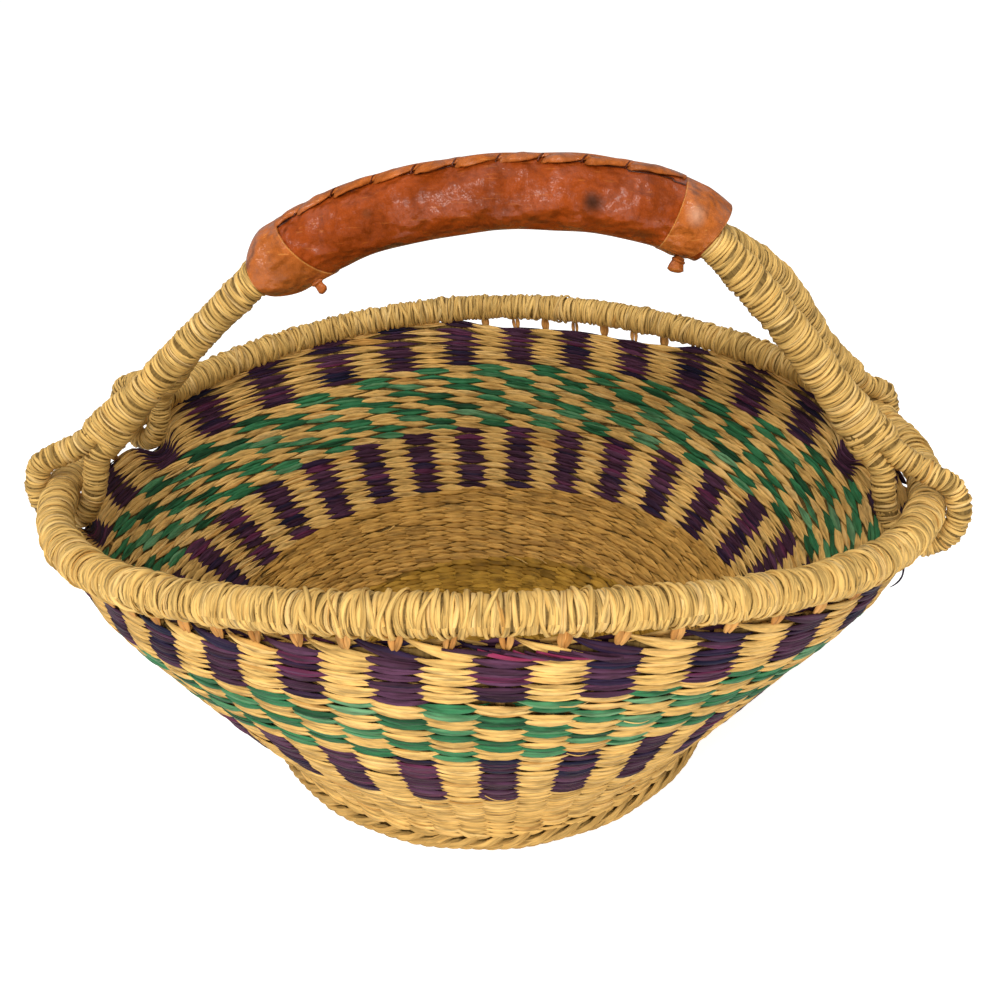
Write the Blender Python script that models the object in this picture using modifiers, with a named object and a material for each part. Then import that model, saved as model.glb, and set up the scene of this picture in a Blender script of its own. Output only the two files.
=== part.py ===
"""Round woven market basket with a straw handle and a leather grip.

Metres, +Z up. The origin is on the floor under the middle of the basket's
overall outline. +X runs along the handle's span and +Y towards the back.
"""
import math

import bmesh
import bpy
from mathutils import Matrix, Vector

# Fits
FIT_GAP = 0.0003            # between pieces that touch on the real basket
MERGE = 0.00001             # vertices nearer than this are one
CUT_OVERRUN = 0.004         # how far a cutter passes the faces it cuts

# Counts
STAKES = 60                 # upright straw bundles round the wall
STAKE_TURN = math.radians(3.0)   # place of the first one, anticlockwise from +X
RIM_STEPS = 60              # straight runs round the rim
ROUND_SIDES = 10            # sides of a rim section
SMOOTH_STEPS = 24           # steps between two points of a smooth line

# Basket body
WALL = 0.0050               # thickness of the weave
FOOT_RADIUS = 0.1289        # outside of the braided foot
FOOT_WIDTH = 0.0120         # braid, from inside to outside
FOOT_HEIGHT = 0.0140        # braid, floor to top
FOOT_ROUND = 0.0040         # rounding of the braid's corners
FOOT_LOW_OUT_SHARE = 0.6    # of that, at the foot's outer lower corner
FOOT_LOW_IN_SHARE = 0.4     # of that, at its inner lower corner
FLOOR_HEIGHT = 0.0030       # underside of the woven base above the floor
FLOOR_CURVE = 0.0090        # where the base turns up to meet the wall
# Outline of that turn outside and inside, in and up, as shares of it.
FLOOR_CURVE_SHARES = ((0.0, 0.62), (0.30, 0.20), (1.0, 0.0))
FLOOR_INSIDE_SHARES = ((1.0, 0.0), (0.30, 0.30))
WALL_FOOT_RADIUS = 0.1212   # outer radius of the wall on the foot
LOWER_PURPLE_RADIUS = 0.1530
LOWER_PURPLE_HEIGHT = 0.0548
GREEN_RADIUS = 0.1756
GREEN_HEIGHT = 0.0911
UPPER_PURPLE_RADIUS = 0.1979
UPPER_PURPLE_HEIGHT = 0.1290
BORDER_INSET = 0.0014       # outside of the last course, inward of the rim's centre line
BORDER_HEIGHT = 0.1502      # last twined course under the rim
BORDER_COURSE = 0.0036      # height of that course
TIE_WIDTH = 0.0030          # a stake's end, where it ties into the rim
BAND_POINTS = 2             # straight runs up each coloured band

# Rim
RIM_RADIUS = 0.2050         # mean radius of the rim's centre line
RIM_HEIGHT = 0.1668         # mean height of the rim's centre line
RIM_THICK = 0.0174          # diameter over the straw wrapping
RIM_WRAP = 0.0027           # thickness of that wrapping
RIM_SLOT = 0.0040           # slot under the wrapping where the ties go in

# How the soft rim has settled out of round and out of level. Each pair is
# the share that follows the cosine and the share that follows the sine.
OVAL_OUT = (0.0164, -0.0045)
PEAR_OUT = (0.0038, 0.0016)
SQUARE_OUT = (0.0010, 0.0005)
TILT_UP = (0.0007, -0.0072)
SADDLE_UP = (-0.0139, 0.0014)
WAVE_UP = (-0.0010, 0.0013)
SETTLE_POWER = 1.7          # the wall follows the rim less towards the foot

# Handle
LOOP_STRAND = 0.0124        # thickness of the strands looped round the rim
LOOP_SIDE_GAP = 0.0002      # loop to rim, inside and outside
LOOP_PLAY = 0.0043          # loop to rim, above and below
LOOP_PEAK = 0.0110          # how far a loop is drawn up towards its leg
LOOP_PEAK_POWER = 6
LOOP_STEPS = 22
NOTCH_SIDE = 0.0016         # opening in the weave beside a loop strand
NOTCH_UNDER = 0.0064        # opening in the weave below a loop strand
# The stake whose place under the rim each loop takes, counted anticlockwise.
LOOP_STAKES = {"front_left": 31, "back_left": 27, "front_right": 57, "back_right": 1}
ROD_OFFSET = 0.0109         # centre of each rod from the handle's middle
ROD_CORE = 0.0140           # diameter of the straw bundle inside a rod
ROD_THICK = 0.0212          # diameter over the straw wrapping
ROD_SIDES_LEVEL = 2         # sets eight sides
ROD_TILT = math.pi / 8      # turns them flat side up
ROD_GAP = 0.0005            # straw bundle to the wrapping round it
ROD_TUCK = 0.0040           # how far the wrapping runs into the left collar
ROD_LEAD = 0.0030           # how far a rod runs straight on from the leather
LEG_BOW = 0.0040            # how far a leg bows up from a straight line
LEG_POINTS = 7

GRIP_LEFT = -0.1030         # left end of the leather
GRIP_SPAN = 0.2220          # end to end
GRIP_CROWN = 0.2930         # highest point of the leather's centre line
GRIP_DROP = 0.0370          # from there down to the left end
GRIP_X_SHARES = (0.0, 0.117, 0.225, 0.329, 0.423, 0.532, 0.680, 0.779, 0.869, 0.946, 1.0)
GRIP_DROP_SHARES = (1.0, 0.618, 0.330, 0.158, 0.060, 0.0, 0.013, 0.092, 0.220, 0.430, 0.632)
GRIP_HIGH = 0.0336          # leather sleeve across, in the handle's plane
GRIP_WIDE = 0.0432          # leather sleeve across, front to back
LEATHER = 0.0018            # thickness of the leather
GRIP_POINTS = 18
GRIP_FINE = 120             # points of the smooth line that the others follow
GRIP_SIDES_LEVEL = 5        # sets fourteen sides

COLLAR_LEATHER = 0.0016
LEFT_COLLAR_LONG = 0.0340
LEFT_COLLAR_TAPER_SHARE = 0.60   # of its length, drawn in towards the rods
LEFT_COLLAR_MOUTH_HIGH = 0.0314
LEFT_COLLAR_MOUTH_WIDE = 0.0512
RIGHT_COLLAR_LONG = 0.0250
RIGHT_COLLAR_INSET = 0.0030  # sleeve that shows past the right collar
COLLAR_POINTS = 6

SEAM_THICK = 0.0036         # rolled edge of the leather along the top
SEAM_LEAN_SHARE = 0.16      # how far forward it lies, of the sleeve's width
SEAM_LACE = 0.0012          # thickness of the lace over it
SEAM_LACE_GAP = 0.0006      # lace to rolled edge, on its straight runs' ends
SEAM_TURNS = 11             # times the lace crosses and comes back
SEAM_LACE_SWING = math.radians(78.0)
SEAM_LACE_STEPS = 6         # straight runs of each turn
KNOT_THICK = 0.0058         # tied end of the lace under each collar
KNOT_LONG = 0.0085
# Places along a knot and its thickness there, as shares of length and root.
KNOT_SHARES = ((0.0, 1.0), (0.35, 0.9), (0.7, 0.62), (1.0, 0.62))
KNOT_FORWARD_SHARE = 0.30   # place of a knot, of the sleeve's width

# Colours
STRAW = (0.60, 0.40, 0.15)
STRAW_PALE = (0.68, 0.47, 0.20)
PURPLE = (0.075, 0.030, 0.080)
GREEN = (0.020, 0.160, 0.070)
TAN = (0.36, 0.12, 0.035)
TAN_DARK = (0.22, 0.065, 0.02)

# Worked out from the sizes above
RIM_TUBE = RIM_THICK / 2
STRAND = LOOP_STRAND / 2
LOOP_ACROSS = RIM_TUBE + LOOP_SIDE_GAP + STRAND
LOOP_UP = RIM_TUBE + LOOP_PLAY + STRAND
TIE_TOP = RIM_HEIGHT - RIM_TUBE - FIT_GAP
BORDER_RADIUS = RIM_RADIUS - BORDER_INSET
BORDER_TOP = BORDER_HEIGHT + BORDER_COURSE
WALL_STATIONS = (
    (FOOT_HEIGHT + FIT_GAP, WALL_FOOT_RADIUS),
    (LOWER_PURPLE_HEIGHT, LOWER_PURPLE_RADIUS),
    (GREEN_HEIGHT, GREEN_RADIUS),
    (UPPER_PURPLE_HEIGHT, UPPER_PURPLE_RADIUS),
    (BORDER_HEIGHT, BORDER_RADIUS),
)



def remove_everything():
    """Clear the scene's objects."""
    for old in list(bpy.data.objects):
        bpy.data.objects.remove(old, do_unlink=True)


def new_collection(name):
    """Add a collection to the scene."""
    group = bpy.data.collections.new(name)
    bpy.context.scene.collection.children.link(group)
    return group


def new_material(name, colour, roughness):
    """Make a plain material."""
    material = bpy.data.materials.new(name)
    material.use_nodes = True
    shader = material.node_tree.nodes["Principled BSDF"]
    shader.inputs["Base Color"].default_value = (*colour, 1.0)
    shader.inputs["Roughness"].default_value = roughness
    shader.inputs["Metallic"].default_value = 0.0
    material.diffuse_color = (*colour, 1.0)
    return material


def settle_at(angle):
    """How far the rim lies out from its circle and up from its level."""
    out = 0.0
    up = 0.0
    for order, pair in ((2, OVAL_OUT), (3, PEAR_OUT), (4, SQUARE_OUT)):
        out += pair[0] * math.cos(order * angle) + pair[1] * math.sin(order * angle)
    for order, pair in ((1, TILT_UP), (2, SADDLE_UP), (3, WAVE_UP)):
        up += pair[0] * math.cos(order * angle) + pair[1] * math.sin(order * angle)
    return out, up


def settle(point):
    """Move a point of the ideal round basket to where the soft one has it."""
    angle = math.atan2(point.y, point.x)
    radius = math.hypot(point.x, point.y)
    share = min(max(point.z / BORDER_TOP, 0.0), 1.0) ** SETTLE_POWER
    out, up = settle_at(angle)
    radius += share * out * min(radius / FOOT_RADIUS, 1.0)
    return Vector((radius * math.cos(angle), radius * math.sin(angle), point.z + share * up))


def rim_point(angle):
    """The settled rim's centre line at an angle."""
    place = Vector((RIM_RADIUS * math.cos(angle), RIM_RADIUS * math.sin(angle), RIM_HEIGHT))
    return settle(place)


def smooth_line(points, count):
    """Even points along a smooth curve through the given ones."""
    ends = [points[0] * 2 - points[1]] + list(points) + [points[-1] * 2 - points[-2]]
    fine = []
    for index in range(1, len(ends) - 2):
        before, start, stop, after = ends[index - 1:index + 3]
        for step in range(SMOOTH_STEPS):
            t = step / SMOOTH_STEPS
            fine.append(0.5 * (
                start * 2
                + (stop - before) * t
                + (before * 2 - start * 5 + stop * 4 - after) * t ** 2
                + (start * 3 - before - stop * 3 + after) * t ** 3
            ))
    fine.append(points[-1].copy())
    return even_points(fine, count)


def even_points(line, count):
    """Evenly spaced points along a line of many points."""
    reach = [0.0]
    for first, second in zip(line, line[1:]):
        reach.append(reach[-1] + (second - first).length)
    result = []
    place = 0
    for index in range(count):
        target = reach[-1] * index / (count - 1)
        while place < len(line) - 2 and reach[place + 1] < target:
            place += 1
        span = reach[place + 1] - reach[place]
        share = (target - reach[place]) / span
        result.append(line[place].lerp(line[place + 1], share))
    return result


def line_between(line, start, stop, count):
    """Even points on the part of a line from one distance to another."""
    total = sum((second - first).length for first, second in zip(line, line[1:]))
    if stop <= 0.0:
        stop = total + stop
    kept = []
    gone = 0.0
    for first, second in zip(line, line[1:]):
        span = (second - first).length
        for edge in (start, stop):
            if gone <= edge < gone + span:
                kept.append((edge, first.lerp(second, (edge - gone) / span)))
        if start < gone < stop:
            kept.append((gone, first.copy()))
        gone += span
    if stop >= gone:
        kept.append((gone, line[-1].copy()))
    kept.sort(key=lambda item: item[0])
    return even_points([item[1] for item in kept], count)


def show(mesh, name, group, material, parent=None):
    """Put a mesh in the scene as a named object with its material."""
    mesh.name = name
    piece = bpy.data.objects.new(name, mesh)
    group.objects.link(piece)
    if material is not None:
        mesh.materials.clear()
        mesh.materials.append(material)
    if parent is not None:
        carry(piece, parent)
    return piece


def carry(piece, parent):
    """Parent an object where it is."""
    piece.parent = parent
    piece.matrix_parent_inverse = parent.matrix_world.inverted()


def centre_outline(middle, group):
    """Carry everything on one empty and bring the outline's middle to the origin."""
    bpy.context.view_layer.update()
    graph = bpy.context.evaluated_depsgraph_get()
    low = [0.0, 0.0]
    high = [0.0, 0.0]
    for piece in group.objects:
        if piece.type == "MESH":
            shape = piece.evaluated_get(graph).to_mesh()
            for vertex in shape.vertices:
                place = piece.matrix_world @ vertex.co
                for axis in range(len(low)):
                    low[axis] = min(low[axis], place[axis])
                    high[axis] = max(high[axis], place[axis])
    middle.location = (-(low[0] + high[0]) / 2, -(low[1] + high[1]) / 2, 0.0)


def tidy_mesh(mesh, sharp=math.radians(38.0)):
    """Weld, turn the faces outward and shade the round parts smooth."""
    work = bmesh.new()
    work.from_mesh(mesh)
    bmesh.ops.remove_doubles(work, verts=work.verts, dist=MERGE)
    bmesh.ops.recalc_face_normals(work, faces=work.faces)
    work.to_mesh(mesh)
    work.free()
    mesh.shade_smooth()
    mesh.set_sharp_from_angle(angle=sharp)


def baked(piece):
    """The mesh of an object as its modifiers leave it; the object goes."""
    bpy.context.view_layer.update()
    graph = bpy.context.evaluated_depsgraph_get()
    mesh = bpy.data.meshes.new_from_object(piece.evaluated_get(graph))
    mesh.transform(piece.matrix_world)
    bpy.data.objects.remove(piece, do_unlink=True)
    return mesh


def turned_mesh(profile, steps):
    """Turn a closed profile of (radius, height) pairs round +Z."""
    mesh = bpy.data.meshes.new("profile")
    points = [(radius, 0.0, height) for radius, height in profile]
    edges = []
    for index in range(len(points)):
        after = (index + 1) % len(points)
        if profile[index][0] > 0.0 or profile[after][0] > 0.0:
            edges.append((index, after))
    mesh.from_pydata(points, edges, [])
    piece = bpy.data.objects.new("profile", mesh)
    bpy.context.scene.collection.objects.link(piece)
    screw = piece.modifiers.new("turn", "SCREW")
    screw.axis = "Z"
    screw.angle = math.tau
    screw.steps = steps
    screw.render_steps = steps
    screw.use_merge_vertices = True
    screw.merge_threshold = MERGE
    result = baked(piece)
    tidy_mesh(result)
    return result


def settled(mesh):
    """Settle every vertex of a mesh of the round basket."""
    for vertex in mesh.vertices:
        vertex.co = settle(vertex.co)
    mesh.update()
    return mesh


def tube_mesh(points, radius, level, closed=False, capped=True, radii=None, tilt=0.0):
    """A round tube along points; level sets 4 + 2 * level sides."""
    curve = bpy.data.curves.new("tube", "CURVE")
    curve.dimensions = "3D"
    curve.bevel_depth = radius
    curve.bevel_resolution = level
    curve.render_resolution_u = 0
    curve.use_fill_caps = capped and not closed
    curve.twist_mode = "MINIMUM" if closed else "Z_UP"
    spline = curve.splines.new("POLY")
    spline.points.add(len(points) - 1)
    for index, point in enumerate(points):
        spline.points[index].co = (*point, 1.0)
        spline.points[index].tilt = tilt
        if radii is not None:
            spline.points[index].radius = radii[index] / radius
    spline.use_cyclic_u = closed
    piece = bpy.data.objects.new("tube", curve)
    bpy.context.scene.collection.objects.link(piece)
    mesh = baked(piece)
    tidy_mesh(mesh)
    return mesh


def widen(mesh, ratio_at):
    """Stretch a tube front to back, by a ratio that may change along +X."""
    for vertex in mesh.vertices:
        vertex.co.y *= ratio_at(vertex.co.x)
    mesh.update()
    return mesh


def add_shell(piece, thickness):
    """Give an open surface its thickness, inward."""
    shell = piece.modifiers.new("thickness", "SOLIDIFY")
    shell.thickness = thickness
    shell.offset = -1.0
    shell.use_even_offset = True
    return shell


def add_cut(piece, cutter, name):
    """Cut one object out of another."""
    cut = piece.modifiers.new(name, "BOOLEAN")
    cut.operation = "DIFFERENCE"
    cut.object = cutter
    return cut


def as_cutter(mesh, name, group):
    """Put a mesh in the scene as a cutter."""
    cutter = show(mesh, name, group, None)
    cutter.hide_render = True
    cutter.display_type = "WIRE"
    return cutter



def wall_radius(height):
    """Outer radius of the ideal wall at a height, as one smooth curve."""
    stations = WALL_STATIONS
    if height >= stations[-1][0]:
        (low, near), (high, far) = stations[-2:]
        return far + (far - near) * (height - high) / (high - low)
    last = len(stations) - 1
    for index in range(last):
        (low, near), (high, far) = stations[index:index + 2]
        if height <= high:
            break
    span = high - low
    t = (height - low) / span
    before = stations[max(index - 1, 0)]
    after = stations[min(index + 2, last)]
    slope_in = (far - before[1]) / (high - before[0])
    slope_out = (after[1] - near) / (after[0] - low)
    square = t * t
    cube = square * t
    return (
        near * (2 * cube - 3 * square + 1)
        + slope_in * span * (cube - 2 * square + t)
        + far * (3 * square - 2 * cube)
        + slope_out * span * (cube - square)
    )


def band_profile(bottom, top):
    """Closed profile of the wall between two heights, outside first."""
    heights = [top + (bottom - top) * index / BAND_POINTS for index in range(BAND_POINTS + 1)]
    outside = [(wall_radius(height), height) for height in heights]
    inside = [(radius - WALL, height) for radius, height in reversed(outside)]
    return outside + inside


def make_wall(group, notches, straw, purple, green):
    """The woven wall as its four bands, bottom to top."""
    tops = [height - FIT_GAP for height, radius in WALL_STATIONS[1:]]
    bottoms = [height for height, radius in WALL_STATIONS[:-1]]
    looks = (
        ("wall_plain_straw", straw),
        ("wall_lower_purple_band", purple),
        ("wall_green_band", green),
        ("wall_upper_purple_band", purple),
    )
    for (name, look), bottom, top in zip(looks, bottoms, tops):
        mesh = turned_mesh(band_profile(bottom, top), STAKES)
        if name == looks[-1][0]:
            piece = show(mesh, name, group, look)
            add_cut(piece, notches, "loop notches")
            mesh = baked(piece)
            tidy_mesh(mesh)
        show(settled(mesh), name, group, look)


def box_mesh(boxes):
    """One mesh of boxes; each has a centre, an angle about +Z and its sizes."""
    work = bmesh.new()
    for centre, angle, sizes in boxes:
        made = bmesh.ops.create_cube(work, size=1.0)
        for vertex in made["verts"]:
            along = vertex.co.x * sizes[0]
            across = vertex.co.y * sizes[1]
            vertex.co = centre + Vector((
                along * math.cos(angle) - across * math.sin(angle),
                along * math.sin(angle) + across * math.cos(angle),
                vertex.co.z * sizes[2],
            ))
    mesh = bpy.data.meshes.new("boxes")
    work.to_mesh(mesh)
    work.free()
    return mesh


def loop_angle(name):
    """Angle round the rim at which a handle loop passes through the weave."""
    return STAKE_TURN + math.tau * LOOP_STAKES[name] / STAKES


def make_notches(group):
    """Notches in the weave for the handle's loops."""
    low = RIM_HEIGHT - LOOP_UP - STRAND - NOTCH_UNDER
    high = RIM_HEIGHT
    radii = (wall_radius(low), wall_radius(BORDER_HEIGHT))
    inner = min(radii) - WALL - CUT_OVERRUN
    outer = max(radii) + CUT_OVERRUN
    sizes = (outer - inner, LOOP_STRAND + 2 * NOTCH_SIDE, high - low)
    radius = (outer + inner) / 2
    boxes = []
    for name in LOOP_STAKES:
        angle = loop_angle(name)
        centre = Vector((radius * math.cos(angle), radius * math.sin(angle), (low + high) / 2))
        boxes.append((centre, angle, sizes))
    return as_cutter(box_mesh(boxes), "cutter_loop_notches", group)


def make_stake_ends(group, straw):
    """The border course with the stake ends that tie into the rim.

    The four loops of the handle divide it into four lengths.
    """
    names = ("stake_ends_right", "stake_ends_back", "stake_ends_left", "stake_ends_front")
    loops = sorted(loop_angle(name) for name in LOOP_STAKES)
    half_notch = (STRAND + NOTCH_SIDE) / BORDER_RADIUS
    half_tie = TIE_WIDTH / 2 / BORDER_RADIUS
    for index, name in enumerate(names):
        start = loops[index - 1] + half_notch
        stop = loops[index] - half_notch
        if start > stop:
            start -= math.tau
        edges = [start]
        for count in range(-STAKES, STAKES):
            tie = STAKE_TURN + math.tau * count / STAKES
            if start + half_tie < tie < stop - half_tie:
                edges += [tie - half_tie, tie + half_tie]
        edges.append(stop)
        show(settled(fence_mesh(edges)), name, group, straw)


def fence_mesh(edges):
    """A length of the border course; every second stretch of it carries a tie."""
    outside = wall_radius(BORDER_TOP)
    profile = (
        (outside, BORDER_TOP),
        (wall_radius(BORDER_HEIGHT), BORDER_HEIGHT),
        (wall_radius(BORDER_HEIGHT) - WALL, BORDER_HEIGHT),
        (outside - WALL, BORDER_TOP),
    )
    work = bmesh.new()
    corners = [
        work.verts.new((radius * math.cos(edges[0]), radius * math.sin(edges[0]), height))
        for radius, height in profile
    ]
    end = work.faces.new(corners)
    ties = []
    for index in range(len(edges) - 1):
        last = end
        known = set(work.faces)
        made = bmesh.ops.extrude_face_region(work, geom=[last])["geom"]
        moved = [item for item in made if isinstance(item, bmesh.types.BMVert)]
        end = [item for item in made if isinstance(item, bmesh.types.BMFace)][0]
        turn = Matrix.Rotation(edges[index + 1] - edges[index], 3, "Z")
        bmesh.ops.rotate(work, verts=moved, matrix=turn)
        if index:
            bmesh.ops.delete(work, geom=[last], context="FACES_ONLY")
            known.discard(last)
        if index % 2:
            sides = [face for face in work.faces if face not in known and face is not end]
            ties.append(max(sides, key=lambda face: face.calc_center_median().z))
    for tie in bmesh.ops.extrude_discrete_faces(work, faces=ties)["faces"]:
        bmesh.ops.translate(work, verts=tie.verts, vec=(0.0, 0.0, TIE_TOP - BORDER_TOP))
    mesh = bpy.data.meshes.new("length")
    work.to_mesh(mesh)
    work.free()
    tidy_mesh(mesh)
    return mesh


def make_base(group, straw, pale):
    """The woven base, which turns up inside the braided foot."""
    outer = FOOT_RADIUS - FOOT_WIDTH - FIT_GAP
    profile = [(outer, FOOT_HEIGHT)]
    for inward, upward in FLOOR_CURVE_SHARES:
        profile.append((outer - FLOOR_CURVE * inward, FLOOR_HEIGHT + FLOOR_CURVE * upward))
    profile.append((0.0, FLOOR_HEIGHT))
    inside = FLOOR_HEIGHT + WALL
    profile.append((0.0, inside))
    for inward, upward in FLOOR_INSIDE_SHARES:
        profile.append((outer - WALL - FLOOR_CURVE * inward, inside + FLOOR_CURVE * upward))
    profile.append((outer - WALL, FOOT_HEIGHT))
    show(settled(turned_mesh(profile, STAKES)), "base_disc", group, straw)

    inner = FOOT_RADIUS - FOOT_WIDTH
    low_out = FOOT_ROUND * FOOT_LOW_OUT_SHARE
    low_in = FOOT_ROUND * FOOT_LOW_IN_SHARE
    braid = [
        (FOOT_RADIUS - FOOT_ROUND, FOOT_HEIGHT),
        (FOOT_RADIUS, FOOT_HEIGHT - FOOT_ROUND),
        (FOOT_RADIUS, low_out),
        (FOOT_RADIUS - low_out, 0.0),
        (inner + low_in, 0.0),
        (inner, low_in),
        (inner, FOOT_HEIGHT),
    ]
    show(settled(turned_mesh(braid, STAKES)), "foot_braid", group, pale)


def make_rim(group, straw, pale):
    """The rim's straw core and the straw wrapped round it."""
    bore = RIM_TUBE - RIM_WRAP
    slot_out = math.asin(RIM_SLOT / 2 / RIM_TUBE)
    slot_in = math.asin(RIM_SLOT / 2 / bore)
    down = -math.pi / 2
    profile = []
    for index in range(ROUND_SIDES):
        share = index / (ROUND_SIDES - 1)
        angle = down - slot_out - (math.tau - 2 * slot_out) * share
        profile.append((RIM_RADIUS + RIM_TUBE * math.cos(angle), RIM_HEIGHT + RIM_TUBE * math.sin(angle)))
    inner_sides = ROUND_SIDES - 4
    for index in range(inner_sides):
        share = index / (inner_sides - 1)
        angle = down + slot_in + (math.tau - 2 * slot_in) * share
        profile.append((RIM_RADIUS + bore * math.cos(angle), RIM_HEIGHT + bore * math.sin(angle)))
    show(settled(turned_mesh(profile, RIM_STEPS)), "rim_wrapping", group, pale)

    sides = inner_sides - 1
    inside = bore * math.cos(math.pi / sides) - FIT_GAP
    core = []
    for index in range(sides):
        angle = -math.tau * index / sides
        core.append((RIM_RADIUS + inside * math.cos(angle), RIM_HEIGHT + inside * math.sin(angle)))
    show(settled(turned_mesh(core, RIM_STEPS)), "rim_core", group, straw)


# Handle
def grip_line():
    """Centre line of the leather grip, left to right, in the plane y = 0."""
    points = []
    for along, drop in zip(GRIP_X_SHARES, GRIP_DROP_SHARES):
        points.append(Vector((GRIP_LEFT + GRIP_SPAN * along, 0.0, GRIP_CROWN - GRIP_DROP * drop)))
    return smooth_line(points, GRIP_FINE)


def leg_top(name, grip):
    """Where a leg's centre line leaves the leather."""
    side = -ROD_OFFSET if name.startswith("front") else ROD_OFFSET
    end = grip[0] if name.endswith("left") else grip[-1]
    return end + Vector((0.0, side, 0.0))


def loop_frame(name, grip):
    """Centre of a rim loop, the ways outward and to its leg, and the leg's angle."""
    angle = loop_angle(name)
    centre = rim_point(angle)
    outward = Vector((math.cos(angle), math.sin(angle), 0.0))
    toward = (leg_top(name, grip) - centre).normalized()
    return centre, outward, toward, math.atan2(toward.z, toward.dot(outward))


def loop_point(frame, turn):
    """A point of a rim loop's centre line, drawn to a peak under its leg."""
    centre, outward, toward, lean = frame
    peak = LOOP_PEAK * max(math.cos((turn - lean) / 2), 0.0) ** LOOP_PEAK_POWER
    up = Vector((0.0, 0.0, LOOP_UP * math.sin(turn)))
    return centre + outward * LOOP_ACROSS * math.cos(turn) + up + toward * peak


def leg_line(name, grip):
    """Centre line of one leg, from the leather down to its loop on the rim."""
    frame = loop_frame(name, grip)
    centre = frame[0]
    top = leg_top(name, grip)
    toward = (top - centre).normalized()
    peak = max((loop_point(frame, math.tau * step / GRIP_FINE) - centre).dot(toward)
               for step in range(GRIP_FINE))
    foot = centre + toward * (peak + STRAND + FIT_GAP)
    middle = top.lerp(foot, 0.5) + Vector((0.0, 0.0, LEG_BOW))
    inward = grip[1] - grip[0] if name.endswith("left") else grip[-2] - grip[-1]
    before = top + inward.normalized() * (top - foot).length / 3
    whole = smooth_line([before, top, middle, foot], GRIP_FINE)
    skipped = (top - before).length
    return line_between(whole, skipped, 0.0, LEG_POINTS)


def make_rods(group, hinge, grip, straw, pale):
    """Two straw bundles through the grip, each wrapped along both legs."""
    flat = math.cos(math.pi / (4 + 2 * ROD_SIDES_LEVEL))
    wrapping = (ROD_THICK - ROD_CORE) / 2 * flat - ROD_GAP
    for row, side in (("front", -ROD_OFFSET), ("back", ROD_OFFSET)):
        aside = Vector((0.0, side, 0.0))
        ends = (
            ("left", grip[0] + aside, (grip[0] - grip[1]).normalized(), ROD_TUCK),
            ("right", grip[-1] + aside, (grip[-1] - grip[-2]).normalized(), -FIT_GAP),
        )
        legs = {}
        for name, end, lead, tuck in ends:
            leg = leg_line(row + "_" + name, grip)
            legs[name] = [end - lead * tuck, end + lead * ROD_LEAD] + leg[1:]
            mesh = tube_mesh(legs[name], ROD_THICK / 2, ROD_SIDES_LEVEL, capped=False, tilt=ROD_TILT)
            wrap = show(mesh, "leg_wrapping_" + row + "_" + name, group, pale, hinge)
            add_shell(wrap, wrapping)
        middle = [point + aside for point in even_points(grip, GRIP_POINTS)[1:-1]]
        line = list(reversed(legs["left"])) + middle + legs["right"]
        core = tube_mesh(line, ROD_CORE / 2, ROD_SIDES_LEVEL, tilt=ROD_TILT)
        show(core, "handle_core_" + row, group, straw, hinge)


def make_loops(group, hinge, grip, pale):
    """A closed loop of strands round the rim at the foot of each leg."""
    for name in LOOP_STAKES:
        frame = loop_frame(name, grip)
        turns = [math.tau * index / LOOP_STEPS + frame[3] for index in range(LOOP_STEPS)]
        points = [loop_point(frame, turn) for turn in turns]
        mesh = tube_mesh(points, STRAND, 2, closed=True)
        show(mesh, "rim_loop_" + name, group, pale, hinge)


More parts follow.
